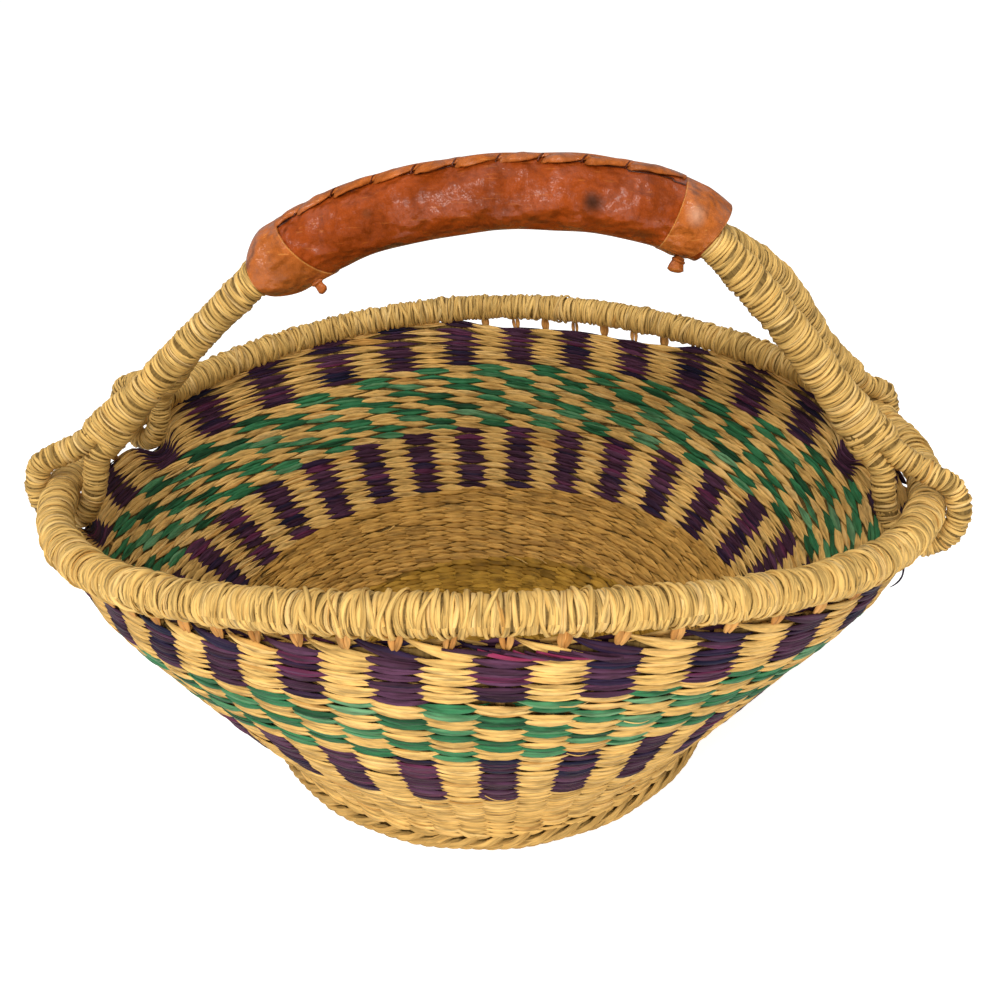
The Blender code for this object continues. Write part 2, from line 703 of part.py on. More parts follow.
def make_grip(group, cutters, hinge, grip, tan, dark, straw):
    """The leather sleeve with its packing, collars, seam and knots."""
    ratio = GRIP_WIDE / GRIP_HIGH
    high = GRIP_HIGH / 2
    sleeve_start = LEFT_COLLAR_LONG * LEFT_COLLAR_TAPER_SHARE + FIT_GAP
    sleeve_line = line_between(grip, sleeve_start, 0.0, GRIP_POINTS)
    outer = widen(tube_mesh(sleeve_line, high, GRIP_SIDES_LEVEL, capped=False), lambda x: ratio)
    sleeve = show(outer, "grip_leather_sleeve", group, tan, hinge)
    add_shell(sleeve, LEATHER)

    # Packing between the rods and the leather.
    flat = math.cos(math.pi / (4 + 2 * GRIP_SIDES_LEVEL))
    inner_high = high - (LEATHER + FIT_GAP) / flat
    inner_wide = GRIP_WIDE / 2 - (LEATHER + FIT_GAP) / flat
    pad_line = line_between(grip, sleeve_start, -RIGHT_COLLAR_LONG / 2, GRIP_POINTS)
    pad_tube = tube_mesh(pad_line, inner_high, GRIP_SIDES_LEVEL)
    pad_mesh = widen(pad_tube, lambda x: inner_wide / inner_high)
    pad = show(pad_mesh, "grip_packing", group, straw, hinge)
    for row, side in (("front", -ROD_OFFSET), ("back", ROD_OFFSET)):
        line = [point + Vector((0.0, side, 0.0)) for point in even_points(grip, GRIP_POINTS)]
        bore = tube_mesh(line, ROD_CORE / 2 + FIT_GAP, ROD_SIDES_LEVEL, tilt=ROD_TILT)
        add_cut(pad, as_cutter(bore, "cutter_rod_" + row, cutters), "rod " + row)

    # Left collar, drawn in to the rods.
    over = high + FIT_GAP + COLLAR_LEATHER
    line = line_between(grip, 0.0, LEFT_COLLAR_LONG, COLLAR_POINTS)
    mouth = LEFT_COLLAR_MOUTH_HIGH / 2
    radii = []
    for index in range(COLLAR_POINTS):
        share = min(index / (COLLAR_POINTS - 1) / LEFT_COLLAR_TAPER_SHARE, 1.0)
        radii.append(mouth + (over - mouth) * math.sin(share * math.pi / 2))
    wide_over = (GRIP_WIDE / 2 + FIT_GAP + COLLAR_LEATHER) / over
    wide_mouth = LEFT_COLLAR_MOUTH_WIDE / LEFT_COLLAR_MOUTH_HIGH
    start, stop = line[0].x, line[-1].x

    def left_ratio(x):
        share = min(max((x - start) / (stop - start) / LEFT_COLLAR_TAPER_SHARE, 0.0), 1.0)
        return wide_mouth + (wide_over - wide_mouth) * math.sin(share * math.pi / 2)

    mesh = widen(tube_mesh(line, over, GRIP_SIDES_LEVEL, capped=False, radii=radii), left_ratio)
    collar = show(mesh, "grip_left_collar", group, tan, hinge)
    add_shell(collar, COLLAR_LEATHER)

    # Right collar, a plain band near the end of the sleeve.
    line = line_between(grip, grip_length(grip) - RIGHT_COLLAR_LONG, -RIGHT_COLLAR_INSET, COLLAR_POINTS)
    mesh = widen(tube_mesh(line, over, GRIP_SIDES_LEVEL, capped=False), lambda x: wide_over)
    collar = show(mesh, "grip_right_collar", group, tan, hinge)
    add_shell(collar, COLLAR_LEATHER)

    make_seam(group, hinge, grip, tan, dark)
    make_knots(group, hinge, grip, dark)


def grip_length(grip):
    """Length of the grip's centre line."""
    return sum((second - first).length for first, second in zip(grip, grip[1:]))


def upright(line, index):
    """Unit vector square to the line, upward, in the handle's plane."""
    first = line[max(index - 1, 0)]
    last = line[min(index + 1, len(line) - 1)]
    run = (last - first).normalized()
    return Vector((-run.z, 0.0, run.x))


def make_seam(group, hinge, grip, tan, dark):
    """The rolled edge on top of the sleeve and the lace over it."""
    start = LEFT_COLLAR_LONG + FIT_GAP + SEAM_THICK / 2
    stop = -(RIGHT_COLLAR_LONG + FIT_GAP + SEAM_THICK / 2)
    lean = GRIP_WIDE * SEAM_LEAN_SHARE
    rise = GRIP_HIGH / 2 * math.sqrt(1 - (lean / (GRIP_WIDE / 2)) ** 2)
    lift = rise + SEAM_THICK / 2 + FIT_GAP
    line = line_between(grip, start, stop, GRIP_POINTS)
    roll = [
        point + upright(line, index) * lift + Vector((0.0, -lean, 0.0))
        for index, point in enumerate(line)
    ]
    mesh = tube_mesh(roll, SEAM_THICK / 2, 1)
    show(mesh, "grip_seam_roll", group, tan, hinge)

    count = SEAM_TURNS * SEAM_LACE_STEPS + 1
    edge = SEAM_THICK
    fine = line_between(grip, start + edge, stop - edge, count)
    reach = SEAM_THICK / 2 + SEAM_LACE_GAP + SEAM_LACE / 2
    lace = []
    for index, point in enumerate(fine):
        swing = SEAM_LACE_SWING * math.cos(math.tau * index / SEAM_LACE_STEPS)
        up = upright(fine, index)
        lace.append(
            point
            + up * (lift + reach * math.cos(swing))
            + Vector((0.0, -lean - reach * math.sin(swing), 0.0))
        )
    mesh = tube_mesh(lace, SEAM_LACE / 2, 0)
    show(mesh, "grip_seam_lace", group, dark, hinge)


def make_knots(group, hinge, grip, dark):
    """The lace's tied ends under the inner edge of each collar."""
    forward = GRIP_WIDE * KNOT_FORWARD_SHARE
    drop = GRIP_HIGH / 2 * math.sqrt(1 - (forward / (GRIP_WIDE / 2)) ** 2)
    root = KNOT_THICK / 2
    places = (
        ("grip_left_knot", LEFT_COLLAR_LONG + root + FIT_GAP),
        ("grip_right_knot", grip_length(grip) - RIGHT_COLLAR_LONG - KNOT_THICK - FIT_GAP),
    )
    for name, along in places:
        line = line_between(grip, along, along + KNOT_THICK, 2)
        up = upright(line, 0)
        front = Vector((0.0, -1.0, 0.0))
        slope = forward * (GRIP_HIGH / GRIP_WIDE) ** 2 / drop
        away = (front * slope - up).normalized()
        surface = line[0] - up * drop + front * forward
        points = []
        radii = []
        for share, thick in KNOT_SHARES:
            points.append(surface + away * (2 * FIT_GAP + KNOT_LONG * share))
            radii.append(root * thick)
        mesh = tube_mesh(points, root, 2, radii=radii)
        show(mesh, name, group, dark, hinge)


def main():
    """Build the basket."""
    remove_everything()
    parts = new_collection("market_basket")
    cutters = new_collection("cutters")
    straw = new_material("straw", STRAW, 0.75)
    pale = new_material("pale straw", STRAW_PALE, 0.7)
    purple = new_material("purple straw", PURPLE, 0.65)
    green = new_material("green straw", GREEN, 0.65)
    tan = new_material("tan leather", TAN, 0.4)
    dark = new_material("dark leather", TAN_DARK, 0.5)

    notches = make_notches(cutters)
    make_base(parts, straw, pale)
    make_wall(parts, notches, straw, purple, green)
    make_stake_ends(parts, straw)
    make_rim(parts, straw, pale)

    # The handle rocks on its loops about a line through them at rim height.
    feet = [rim_point(loop_angle(name)) for name in LOOP_STAKES]
    hinge = bpy.data.objects.new("handle_hinge", None)
    hinge.location = (0.0, 0.0, sum(foot.z for foot in feet) / len(feet))
    parts.objects.link(hinge)
    bpy.context.view_layer.update()

    middle = bpy.data.objects.new("basket_middle", None)
    parts.objects.link(middle)
    grip = grip_line()
    make_rods(parts, hinge, grip, straw, pale)
    make_loops(parts, hinge, grip, pale)
    make_grip(parts, cutters, hinge, grip, tan, dark, straw)
    for piece in list(parts.objects) + list(cutters.objects):
        if piece.parent is None and piece is not middle:
            carry(piece, middle)
    centre_outline(middle, parts)


main()
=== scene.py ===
"""Looks for a round woven market basket with a straw handle and a leather grip."""
import math

import bpy
import numpy as np
from mathutils import Matrix, Vector


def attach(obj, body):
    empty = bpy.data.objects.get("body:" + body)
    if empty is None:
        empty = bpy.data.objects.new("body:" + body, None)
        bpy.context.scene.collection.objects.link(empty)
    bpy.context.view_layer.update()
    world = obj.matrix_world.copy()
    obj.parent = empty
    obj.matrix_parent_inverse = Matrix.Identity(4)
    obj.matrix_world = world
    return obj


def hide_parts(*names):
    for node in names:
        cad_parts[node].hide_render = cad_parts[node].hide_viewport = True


bl_info = {
    "name": "Market basket",
    "version": (1, 0, 0),
    "blender": (4, 5, 0),
    "location": "View3D > Sidebar > Basket",
    "description": "Weaves the straw and sews the leather of a market basket round its frame",
    "category": "Object",
}

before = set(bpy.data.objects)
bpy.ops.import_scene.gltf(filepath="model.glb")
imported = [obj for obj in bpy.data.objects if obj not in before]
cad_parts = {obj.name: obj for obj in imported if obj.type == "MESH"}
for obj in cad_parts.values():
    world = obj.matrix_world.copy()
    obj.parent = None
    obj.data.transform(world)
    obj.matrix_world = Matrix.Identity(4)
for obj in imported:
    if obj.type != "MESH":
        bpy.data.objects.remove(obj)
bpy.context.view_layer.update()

# Basket body, in metres, before the soft rim settles
STAKES = 60
WALL_STATIONS = (
    (0.0143, 0.1212),
    (0.0548, 0.1530),
    (0.0911, 0.1756),
    (0.1290, 0.1979),
    (0.1502, 0.2036),
)
BORDER_TOP = 0.1538
BORDER_REACH = 0.0100        # how far above the border the wall's line goes on
FOOT_RADIUS = 0.1289
MID_DEPTH = 0.0024          # middle of the weave under its outer surface
BASE_MIDDLE = 0.0056        # height of the middle of the woven base
BASE_FLAT = 0.0980          # radius out to which the base is flat
BASE_TURN = ((0.1060, 0.0066), (0.1125, 0.0098))
WALL_BOTTOM = 0.0150
# The outside flares less than the inside and comes down to the foot's edge.
SKIRT = ((0.1250, 0.0085), (0.1256, 0.0143), (0.1276, 0.0200), (0.1334, 0.0300), (0.1406, 0.0400))
SKIRT_TOP = 0.0480

RIM_RADIUS = 0.2050
RIM_HEIGHT = 0.1668
RIM_TUBE = 0.0087

# How the soft rim has settled: cosine and sine shares of each order
OVAL_OUT = (0.0164, -0.0045)
PEAR_OUT = (0.0038, 0.0016)
SQUARE_OUT = (0.0010, 0.0005)
TILT_UP = (0.0007, -0.0072)
SADDLE_UP = (-0.0139, 0.0014)
WAVE_UP = (-0.0010, 0.0013)
SETTLE_POWER = 1.7
MIDDLE = np.array((-0.004132, 0.000814, 0.0))

# Where the stakes stand, in degrees off an even spread, near the rim and low down
TOP_TURN = (3.9, (-2.4, -0.3), (1.7, -1.1), (-0.5, -0.8))
LOW_TURN = (1.1, (-1.9, 0.4), (-0.5, -0.3), (-0.5, -0.2))
TOP_TURN_HEIGHT = 0.140
LOW_TURN_HEIGHT = 0.073

# Where the border reaches up to the rim at the back: middle and half width, in degrees
BACK_HUGS = ((129.5, 34.0), (32.0, 19.0))
BACK_LIFT = 0.0082
SQUEEZE = 0.48              # how far a handle loop pushes the top courses down

# Handle
LOOP_ANGLES = {"front_left": 189.0, "back_left": 163.0, "front_right": 345.0, "back_right": 14.0}
LOOP_ACROSS = {"front_left": 0.0124, "back_left": 0.0120, "front_right": 0.0146, "back_right": 0.0107}
LOOP_UP = {"front_left": 0.0186, "back_left": 0.0186, "front_right": 0.0184, "back_right": 0.0143}
LOOP_PEAK = {"front_left": 0.0110, "back_left": 0.0110, "front_right": 0.0110, "back_right": 0.0050}
LOOP_PEAK_POWER = 6
STRAND = {"front_left": 0.0062, "back_left": 0.0062, "front_right": 0.0055, "back_right": 0.0057}
# Where a leg leaves the leather, across and above the grip's line, its half thickness
# and how far its middle bows up
LEG_OFFSET = {"front_left": (-0.0109, 0.0), "back_left": (0.0109, 0.0),
              "front_right": (-0.0112, -0.0018), "back_right": (0.0064, -0.0026)}
LEG_ROD = {"front_left": 0.0078, "back_left": 0.0078, "front_right": 0.0084, "back_right": 0.0086}
LEG_BOW = {"front_left": 0.0008, "back_left": 0.0008, "front_right": 0.0028, "back_right": 0.0112}
FORK_HALF = 0.0113          # half the width where a leg's strands part
GRIP_LEFT = -0.1030
GRIP_SPAN = 0.2220
GRIP_CROWN = 0.2930
GRIP_DROP = 0.0370
GRIP_X = (0.0, 0.117, 0.225, 0.329, 0.423, 0.532, 0.680, 0.779, 0.869, 0.946, 1.0)
GRIP_Z = (1.0, 0.618, 0.330, 0.158, 0.060, 0.0, 0.013, 0.092, 0.220, 0.430, 0.632)
GRIP_HIGH = 0.0168
GRIP_WIDE = 0.0216


# Shapes of the basket

def wall_table():
    """Heights and outer radii of the ideal wall, close together, to above its border."""
    heights, radii = [], []
    last = len(WALL_STATIONS) - 1
    for index in range(last):
        (low, near), (high, far) = WALL_STATIONS[index:index + 2]
        before = WALL_STATIONS[max(index - 1, 0)]
        after = WALL_STATIONS[min(index + 2, last)]
        slope_in = (far - before[1]) / (high - before[0])
        slope_out = (after[1] - near) / (after[0] - low)
        for t in np.linspace(0.0, 1.0, 20, endpoint=index == last - 1):
            heights.append(low + (high - low) * t)
            radii.append(
                near * (2 * t ** 3 - 3 * t ** 2 + 1)
                + slope_in * (high - low) * (t ** 3 - 2 * t ** 2 + t)
                + far * (3 * t ** 2 - 2 * t ** 3)
                + slope_out * (high - low) * (t ** 3 - t ** 2)
            )
    top = (radii[-1] - radii[-2]) / (heights[-1] - heights[-2])
    heights.append(BORDER_TOP + BORDER_REACH)
    radii.append(radii[-1] + top * (heights[-1] - heights[-2]))
    return np.array(heights), np.array(radii)


class Profile:
    """A line of the weave's middle in the plane of a radius, from the bottom up."""

    def __init__(self, start, from_height):
        heights, radii = wall_table()
        keep = heights > from_height
        r = np.concatenate([[point[0] for point in start], radii[keep] - MID_DEPTH])
        z = np.concatenate([[point[1] for point in start], heights[keep]])
        s = np.concatenate([[0.0], np.cumsum(np.hypot(np.diff(r), np.diff(z)))])
        self.s = np.linspace(0.0, s[-1], 600)
        kernel = np.hanning(31) / np.hanning(31).sum()
        self.r, self.z = (
            np.convolve(
                np.pad(np.interp(self.s, s, line), 15, mode="reflect", reflect_type="odd"), kernel, "valid"
            )
            for line in (r, z)
        )
        run = np.stack([np.gradient(self.r, self.s), np.gradient(self.z, self.s)], -1)
        self.run = run / np.linalg.norm(run, axis=-1, keepdims=True)

    def at(self, height):
        """Length along the line at a height of the wall."""
        rising = self.z > BASE_MIDDLE + 0.0005
        return float(np.interp(height, self.z[rising], self.s[rising]))

    def height(self, s):
        return np.interp(s, self.s, self.z)

    def point(self, s, angle, depth):
        """Point at a length along the line, an angle and a depth outward of it, with
        the ways up the weave and outward."""
        r, z = np.interp(s, self.s, self.r), np.interp(s, self.s, self.z)
        run_r = np.interp(s, self.s, self.run[:, 0])
        run_z = np.interp(s, self.s, self.run[:, 1])
        cos, sin = np.cos(angle), np.sin(angle)
        up_way = np.stack([run_r * cos, run_r * sin, run_z], -1)
        out_way = np.stack([run_z * cos, run_z * sin, -run_r], -1)
        point = np.stack([r * cos, r * sin, z], -1) + out_way * np.asarray(depth)[..., None]
        return point, up_way, out_way


FLAT = [(r, BASE_MIDDLE) for r in np.linspace(0.0, BASE_FLAT, 40)]
INSIDE = Profile([*FLAT, *BASE_TURN], WALL_BOTTOM)
OUTSIDE = Profile(SKIRT, SKIRT_TOP)


def settle_at(angle):
    """How far the rim lies out from its circle and up from its level."""
    out = sum(
        pair[0] * np.cos(order * angle) + pair[1] * np.sin(order * angle)
        for order, pair in ((2, OVAL_OUT), (3, PEAR_OUT), (4, SQUARE_OUT))
    )
    up = sum(
        pair[0] * np.cos(order * angle) + pair[1] * np.sin(order * angle)
        for order, pair in ((1, TILT_UP), (2, SADDLE_UP), (3, WAVE_UP))
    )
    return out, up


def settle(points):
    """Points of the ideal round basket, moved to where the soft one has them."""
    angle = np.arctan2(points[..., 1], points[..., 0])
    radius = np.hypot(points[..., 0], points[..., 1])
    share = np.clip(points[..., 2] / BORDER_TOP, 0.0, 1.0) ** SETTLE_POWER
    out, up = settle_at(angle)
    radius = radius + share * out * np.minimum(radius / FOOT_RADIUS, 1.0)
    moved = np.stack(
        [radius * np.cos(angle), radius * np.sin(angle), points[..., 2] + share * up], -1
    )
    return moved + MIDDLE


def turn_of(table, angle):
    """A stake's drift off the even spread, in radians."""
    total = table[0]
    for order, pair in enumerate(table[1:], 1):
        total = total + pair[0] * np.cos(order * angle) + pair[1] * np.sin(order * angle)
    return np.radians(total)


def stake_angle(stake, height):
    """Angle of a stake, which may be a fraction of the way to the next, at a height."""
    even = math.tau * stake / STAKES
    share = np.clip((height - LOW_TURN_HEIGHT) / (TOP_TURN_HEIGHT - LOW_TURN_HEIGHT), 0.0, 1.2)
    return even + turn_of(LOW_TURN, even) * (1 - share) + turn_of(TOP_TURN, even) * share


def loop_nearness(angle, half_width):
    """1 where a handle loop passes through the weave, falling to 0 beside it."""
    near = np.zeros_like(angle)
    for place in LOOP_ANGLES.values():
        off = np.degrees((angle - math.radians(place) + math.pi) % math.tau - math.pi)
        near = np.maximum(near, 1.0 / (1.0 + (off / half_width) ** 4))
    return near


def raise_border(line, s, angle):
    """Lengths along the wall, pushed down by the handle's loops and drawn up to the
    rim where the basket's back left hugs it."""
    start, stop = line.at(WALL_STATIONS[3][0]), line.at(0.1520)
    share = np.clip((s - start) / (stop - start), 0.0, 1.3)
    near = loop_nearness(angle, 2.9)
    left = 1 - near * SQUEEZE
    lift = 0.0010 * np.clip(np.sin(angle), 0.0, 1.0) ** 2
    for hug, half in BACK_HUGS:
        off = np.degrees((angle - math.radians(hug) + math.pi) % math.tau - math.pi)
        lift = lift + BACK_LIFT / (1.0 + np.exp((np.abs(off) - half) / 2.5))
    moved = start + (s - start) * left + lift * share ** 2 * (1 - near)
    return np.where(s > start, moved, s), left


# Strands

def unit(vectors):
    """Vectors at length one."""
    return vectors / np.maximum(np.linalg.norm(vectors, axis=-1, keepdims=True), 1e-12)


def straw_section(rng, count, sides=10, groove=0.45, back=0.55):
    """Cross sections of flattened straw bundles, with grooves between their straws."""
    angle = math.tau * np.arange(sides) / sides
    wide = np.cos(angle) * (1 + rng.uniform(-0.06, 0.06, (count, sides)))
    high = np.sin(angle) * np.where(np.sin(angle) > 0, 1.0, back)
    lumps = 1 - groove * rng.random((count, sides)) * (np.sin(angle) > 0.2)
    return np.stack([wide, high * lumps], -1)


def sweep(path, across, out, wide, thick, section):
    """Vertices of many strands: (strand, place along it, side of it, xyz)."""
    shape = path.shape[:2]
    wide = np.broadcast_to(wide, shape)[:, :, None] * section[:, None, :, 0]
    thick = np.broadcast_to(thick, shape)[:, :, None] * section[:, None, :, 1]
    return (
        path[:, :, None]
        + across[:, :, None] * wide[..., None]
        + out[:, :, None] * thick[..., None]
    )


class Strands:
    """Gathers strands of one piece and makes its mesh."""

    def __init__(self, rng):
        self.rng = rng
        self.parts = []
        self.total = 0

    def add(self, vertices, look=0, closed=False, tone=None, shade=0.0):
        """Add strands; look is their material slot, one for all or one each, and shade is painted shade that darkens
        their colour.
        """
        count, places, sides = vertices.shape[:3]
        if tone is None:
            tone = self.rng.random(count)
        tone = np.asarray(tone)
        tone = tone if tone.ndim == 3 else np.reshape(tone, (-1, 1, 1))
        tone = np.clip(np.broadcast_to(tone, (count, places, sides)), 0.0, 1.0)
        shade = np.broadcast_to(shade, (count, places))[:, :, None] * np.ones((1, 1, sides))
        look = np.broadcast_to(look, (count,))
        index = np.arange(count)[:, None, None] * places * sides + self.total
        i = np.arange(places if closed else places - 1)[None, :, None]
        j = np.arange(sides)[None, None, :]
        i2, j2 = (i + 1) % places, (j + 1) % sides
        quads = np.stack(
            [index + i * sides + j, index + i * sides + j2, index + i2 * sides + j2, index + i2 * sides + j],
            -1,
        )
        middle = vertices.mean(2, keepdims=True)
        flat = vertices.reshape(-1, 3)
        a, b, c = (flat[quads[..., n] - self.total] for n in (0, 1, 2))
        centre = np.broadcast_to(middle[:, : quads.shape[1]], a.shape)
        facing = (np.cross(b - a, c - b) * (a - centre)).sum()
        steps = np.linalg.norm(np.diff(middle[:, :, 0], axis=1), axis=-1)
        u = np.concatenate([np.zeros((count, 1)), np.cumsum(steps, 1)], 1)
        u_next = np.concatenate([u[:, 1:], u[:, -1:] + steps[:, -1:]], 1)[:, : quads.shape[1]]
        u = u[:, : quads.shape[1]]
        around = np.linalg.norm(vertices[:, :1] - np.roll(vertices[:, :1], 1, 2), axis=-1).mean()
        start = self.rng.uniform(0.0, 1.0, (count, 1, 1))
        u = np.broadcast_to(u[:, :, None] + start, quads.shape[:3])
        u_next = np.broadcast_to(u_next[:, :, None] + start, quads.shape[:3])
        v = np.broadcast_to(j * around, quads.shape[:3])
        uv = np.stack(
            [np.stack(pair, -1) for pair in ((u, v), (u, v + around), (u_next, v + around), (u_next, v))],
            -2,
        ).reshape(-1, 4, 2)
        slots = np.broadcast_to(look[:, None, None], quads.shape[:3]).reshape(-1)
        quads = quads.reshape(-1, 4)
        if not closed:
            ends = []
            half = sides // 2
            for j in range(half - 1):
                ring = np.array((j, j + 1, sides - 2 - j, sides - 1 - j))
                ends.append(index[:, 0, 0][:, None] + ring[::-1][None])
                ends.append(index[:, 0, 0][:, None] + (places - 1) * sides + ring[None])
            ends = np.concatenate(ends)
            quads = np.concatenate([quads, ends])
            uv = np.concatenate([uv, np.zeros((len(ends), 4, 2))])
            slots = np.concatenate([slots, np.tile(look, 2 * (half - 1))])
        if facing < 0:
            quads, uv = quads[:, ::-1], uv[:, ::-1]
        self.parts.append((flat, quads, uv, slots, tone.reshape(-1), shade.reshape(-1)))
        self.total += len(flat)

    def build(self, name, looks, body, nodes=(), slot="natural_straw"):
        """Make the piece, put it on its body and let it stand for its nodes."""
        points, quads, uv, slots, tone, shade = (
            np.concatenate([part[n] for part in self.parts]) for n in range(6)
        )
        mesh = bpy.data.meshes.new(name)
        mesh.vertices.add(len(points))
        mesh.vertices.foreach_set("co", points.astype(np.float32).ravel())
        mesh.loops.add(quads.size)
        mesh.loops.foreach_set("vertex_index", quads.astype(np.int32).ravel())
        mesh.polygons.add(len(quads))
        mesh.polygons.foreach_set("loop_start", np.arange(0, quads.size, 4, dtype=np.int32))
        mesh.polygons.foreach_set("material_index", slots.astype(np.int32))
        mesh.polygons.foreach_set("use_smooth", np.ones(len(quads), bool))
        # The shade attribute carries painted shade to the finishes.
        for layer, values in (("tone", tone), ("shade", shade)):
            mesh.attributes.new(layer, "FLOAT", "POINT").data.foreach_set(
                "value", values.astype(np.float32)
            )
        mesh.uv_layers.new(name="Straw").data.foreach_set("uv", uv.astype(np.float32).ravel())
        mesh.update(calc_edges=True)
        mesh.validate()
        for look in looks:
            mesh.materials.append(look)
        return place(bpy.data.objects.new(name, mesh), body, nodes, slot)


def place(piece, body, nodes, slot):
    """Put a piece on its body, in place of its frame nodes."""
    if piece.name not in bpy.context.scene.collection.objects:
        bpy.context.scene.collection.objects.link(piece)
    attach(piece, body)
    if nodes:
        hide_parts(*nodes)
    return piece


def wrap(strands, rng, path, side, top, half_side, half_top, pitch, look=0, closed=False,
         half_straw=0.00125, thick=0.00080, stations=18, messy=0.5, roll=0.3, pinch=0.15,
         slant=0.0, proud=0.0004):
    """Straw turns wound round a path.

    side and top are the ways across the path, half_side and half_top its half
    sizes there, all along the path's points. Each turn leans by slant, rolls on
    its edge and narrows where it twists.
    """
    reach = np.concatenate([[0.0], np.cumsum(np.linalg.norm(np.diff(path, axis=0), axis=1))])
    count = max(int(round(reach[-1] / pitch)), 3)
    where = (np.arange(count) + 0.5) / count * reach[-1]
    where = where + rng.normal(0.0, 0.16 * pitch, count) * messy
    turn = math.tau * np.arange(stations) / stations
    phase = rng.uniform(0.0, math.tau, (6, count, 1))
    lean = rng.normal(0.0, 0.42, (count, 1)) * messy * pitch
    lean = np.where(rng.random((count, 1)) < 0.12 * messy, lean * 2.4, lean)
    along = where[:, None] + lean * np.cos(turn - phase[0]) + slant * np.sin(turn)
    along = along + 0.30 * pitch * np.sin(2 * turn + phase[1]) * messy
    along = along % reach[-1] if closed else np.clip(along, 0.0, reach[-1])

    def read(values):
        values = np.asarray(values, float)
        if values.ndim == 1:
            return np.interp(along, reach, values)
        return np.stack([np.interp(along, reach, values[:, n]) for n in range(3)], -1)

    centre, side_way, top_way = read(path), unit(read(side)), unit(read(top))
    a, b = read(half_side), read(half_top)
    stand = rng.uniform(-0.4, 1.0, (count, 1)) * proud + 0.5 * proud * np.sin(2 * turn + phase[2])
    cos, sin = np.cos(turn)[None, :, None], np.sin(turn)[None, :, None]
    out = unit(side_way * cos / a[..., None] + top_way * sin / b[..., None])
    place_of = (
        centre
        + side_way * cos * a[..., None]
        + top_way * sin * b[..., None]
        + out * (stand[..., None] - thick * 0.5)
    )
    run = unit(np.roll(place_of, -1, 1) - np.roll(place_of, 1, 1))
    across = unit(np.cross(out, run))
    tip = roll * np.sin(turn + phase[3]) * rng.uniform(0.4, 1.3, (count, 1))
    tip = tip[..., None]
    across, out = across * np.cos(tip) + out * np.sin(tip), out * np.cos(tip) - across * np.sin(tip)
    wide = half_straw * rng.uniform(0.80, 1.18, (count, 1))
    wide = wide * (1 - pinch * (0.5 + 0.5 * np.sin(2 * turn + phase[4])))
    section = straw_section(rng, count, sides=8, groove=0.42, back=0.6)
    high = thick * rng.uniform(0.85, 1.25, (count, 1)) * (1 + 0.5 * pinch * np.sin(2 * turn + phase[4]))
    tone = rng.beta(2.0, 2.0, (count, 1, 1)) + rng.normal(0.0, 0.07, (count, 1, 8))
    strands.add(sweep(place_of, across, out, wide, high, section), look, closed=True, tone=tone)


def under_tube(strands, path, side, top, half_side, half_top, look, closed=False, sides=12):
    """The straw bundle under a wrapping, darkened with painted shade where it shows between the turns."""
    turn = math.tau * np.arange(sides) / sides
    section = np.stack([np.cos(turn), np.sin(turn)], -1)[None]
    shape = sweep(path[None], side[None], top[None], np.asarray(half_side)[None],
                  np.asarray(half_top)[None], section)
    strands.add(shape, look, closed=closed, tone=0.8, shade=0.35)


# Handle lines, as on the frame

def smooth_line(points, count):
    """Even points along a smooth curve through the given ones."""
    points = np.asarray(points, float)
    ends = np.concatenate([[points[0] * 2 - points[1]], points, [points[-1] * 2 - points[-2]]])
    fine = []
    for index in range(1, len(ends) - 2):
        before, start, stop, after = ends[index - 1:index + 3]
        for t in np.arange(24) / 24:
            fine.append(0.5 * (
                start * 2
                + (stop - before) * t
                + (before * 2 - start * 5 + stop * 4 - after) * t ** 2
                + (start * 3 - before - stop * 3 + after) * t ** 3
            ))
    fine.append(points[-1])
    return even_points(np.array(fine), count)


def even_points(line, count, start=0.0, stop=None):
    """Evenly spaced points along a line, or along a stretch of it."""
    line = np.asarray(line, float)
    reach = np.concatenate([[0.0], np.cumsum(np.linalg.norm(np.diff(line, axis=0), axis=1))])
    stop = reach[-1] if stop is None else stop
    where = np.linspace(start, stop, count)
    return np.stack([np.interp(where, reach, line[:, n]) for n in range(3)], -1)


def line_length(line):
    """Length of a line of points."""
    return float(np.linalg.norm(np.diff(line, axis=0), axis=1).sum())


def runs(line):
    """Unit directions along a line's points."""
    return unit(np.gradient(line, axis=0))


def grip_line():
    """Centre line of the leather grip, left to right."""
    points = [
        (GRIP_LEFT + GRIP_SPAN * x, 0.0, GRIP_CROWN - GRIP_DROP * z) for x, z in zip(GRIP_X, GRIP_Z)
    ]
    return smooth_line(points, 120)


def rim_centre(angle):
    """The settled rim's centre line at an angle, before the shift to the middle."""
    point = np.array((RIM_RADIUS * math.cos(angle), RIM_RADIUS * math.sin(angle), RIM_HEIGHT))
    return settle(point) - MIDDLE


def loop_line(name, turns):
    """A rim loop's centre line, its turn at the leg, and the leg's direction there."""
    angle = math.radians(LOOP_ANGLES[name])
    centre = rim_centre(angle)
    outward = np.array((math.cos(angle), math.sin(angle), 0.0))
    toward = unit(leg_top(name) - centre)
    lean = math.atan2(toward[2], toward @ outward)
    turn = lean + np.asarray(turns)
    peak = LOOP_PEAK[name] * np.maximum(np.cos((turn - lean) / 2), 0.0) ** LOOP_PEAK_POWER
    line = (
        centre
        + outward * (LOOP_ACROSS[name] * np.cos(turn))[..., None]
        + np.array((0.0, 0.0, 1.0)) * (LOOP_UP[name] * np.sin(turn))[..., None]
        + toward * peak[..., None]
    )
    return line, centre, outward, toward


def leg_top(name):
    """Where a leg's centre line leaves the leather."""
    grip = grip_line()
    end = grip[0] if name.endswith("left") else grip[-1]
    return end + np.array((0.0, *LEG_OFFSET[name]))


# Finishes

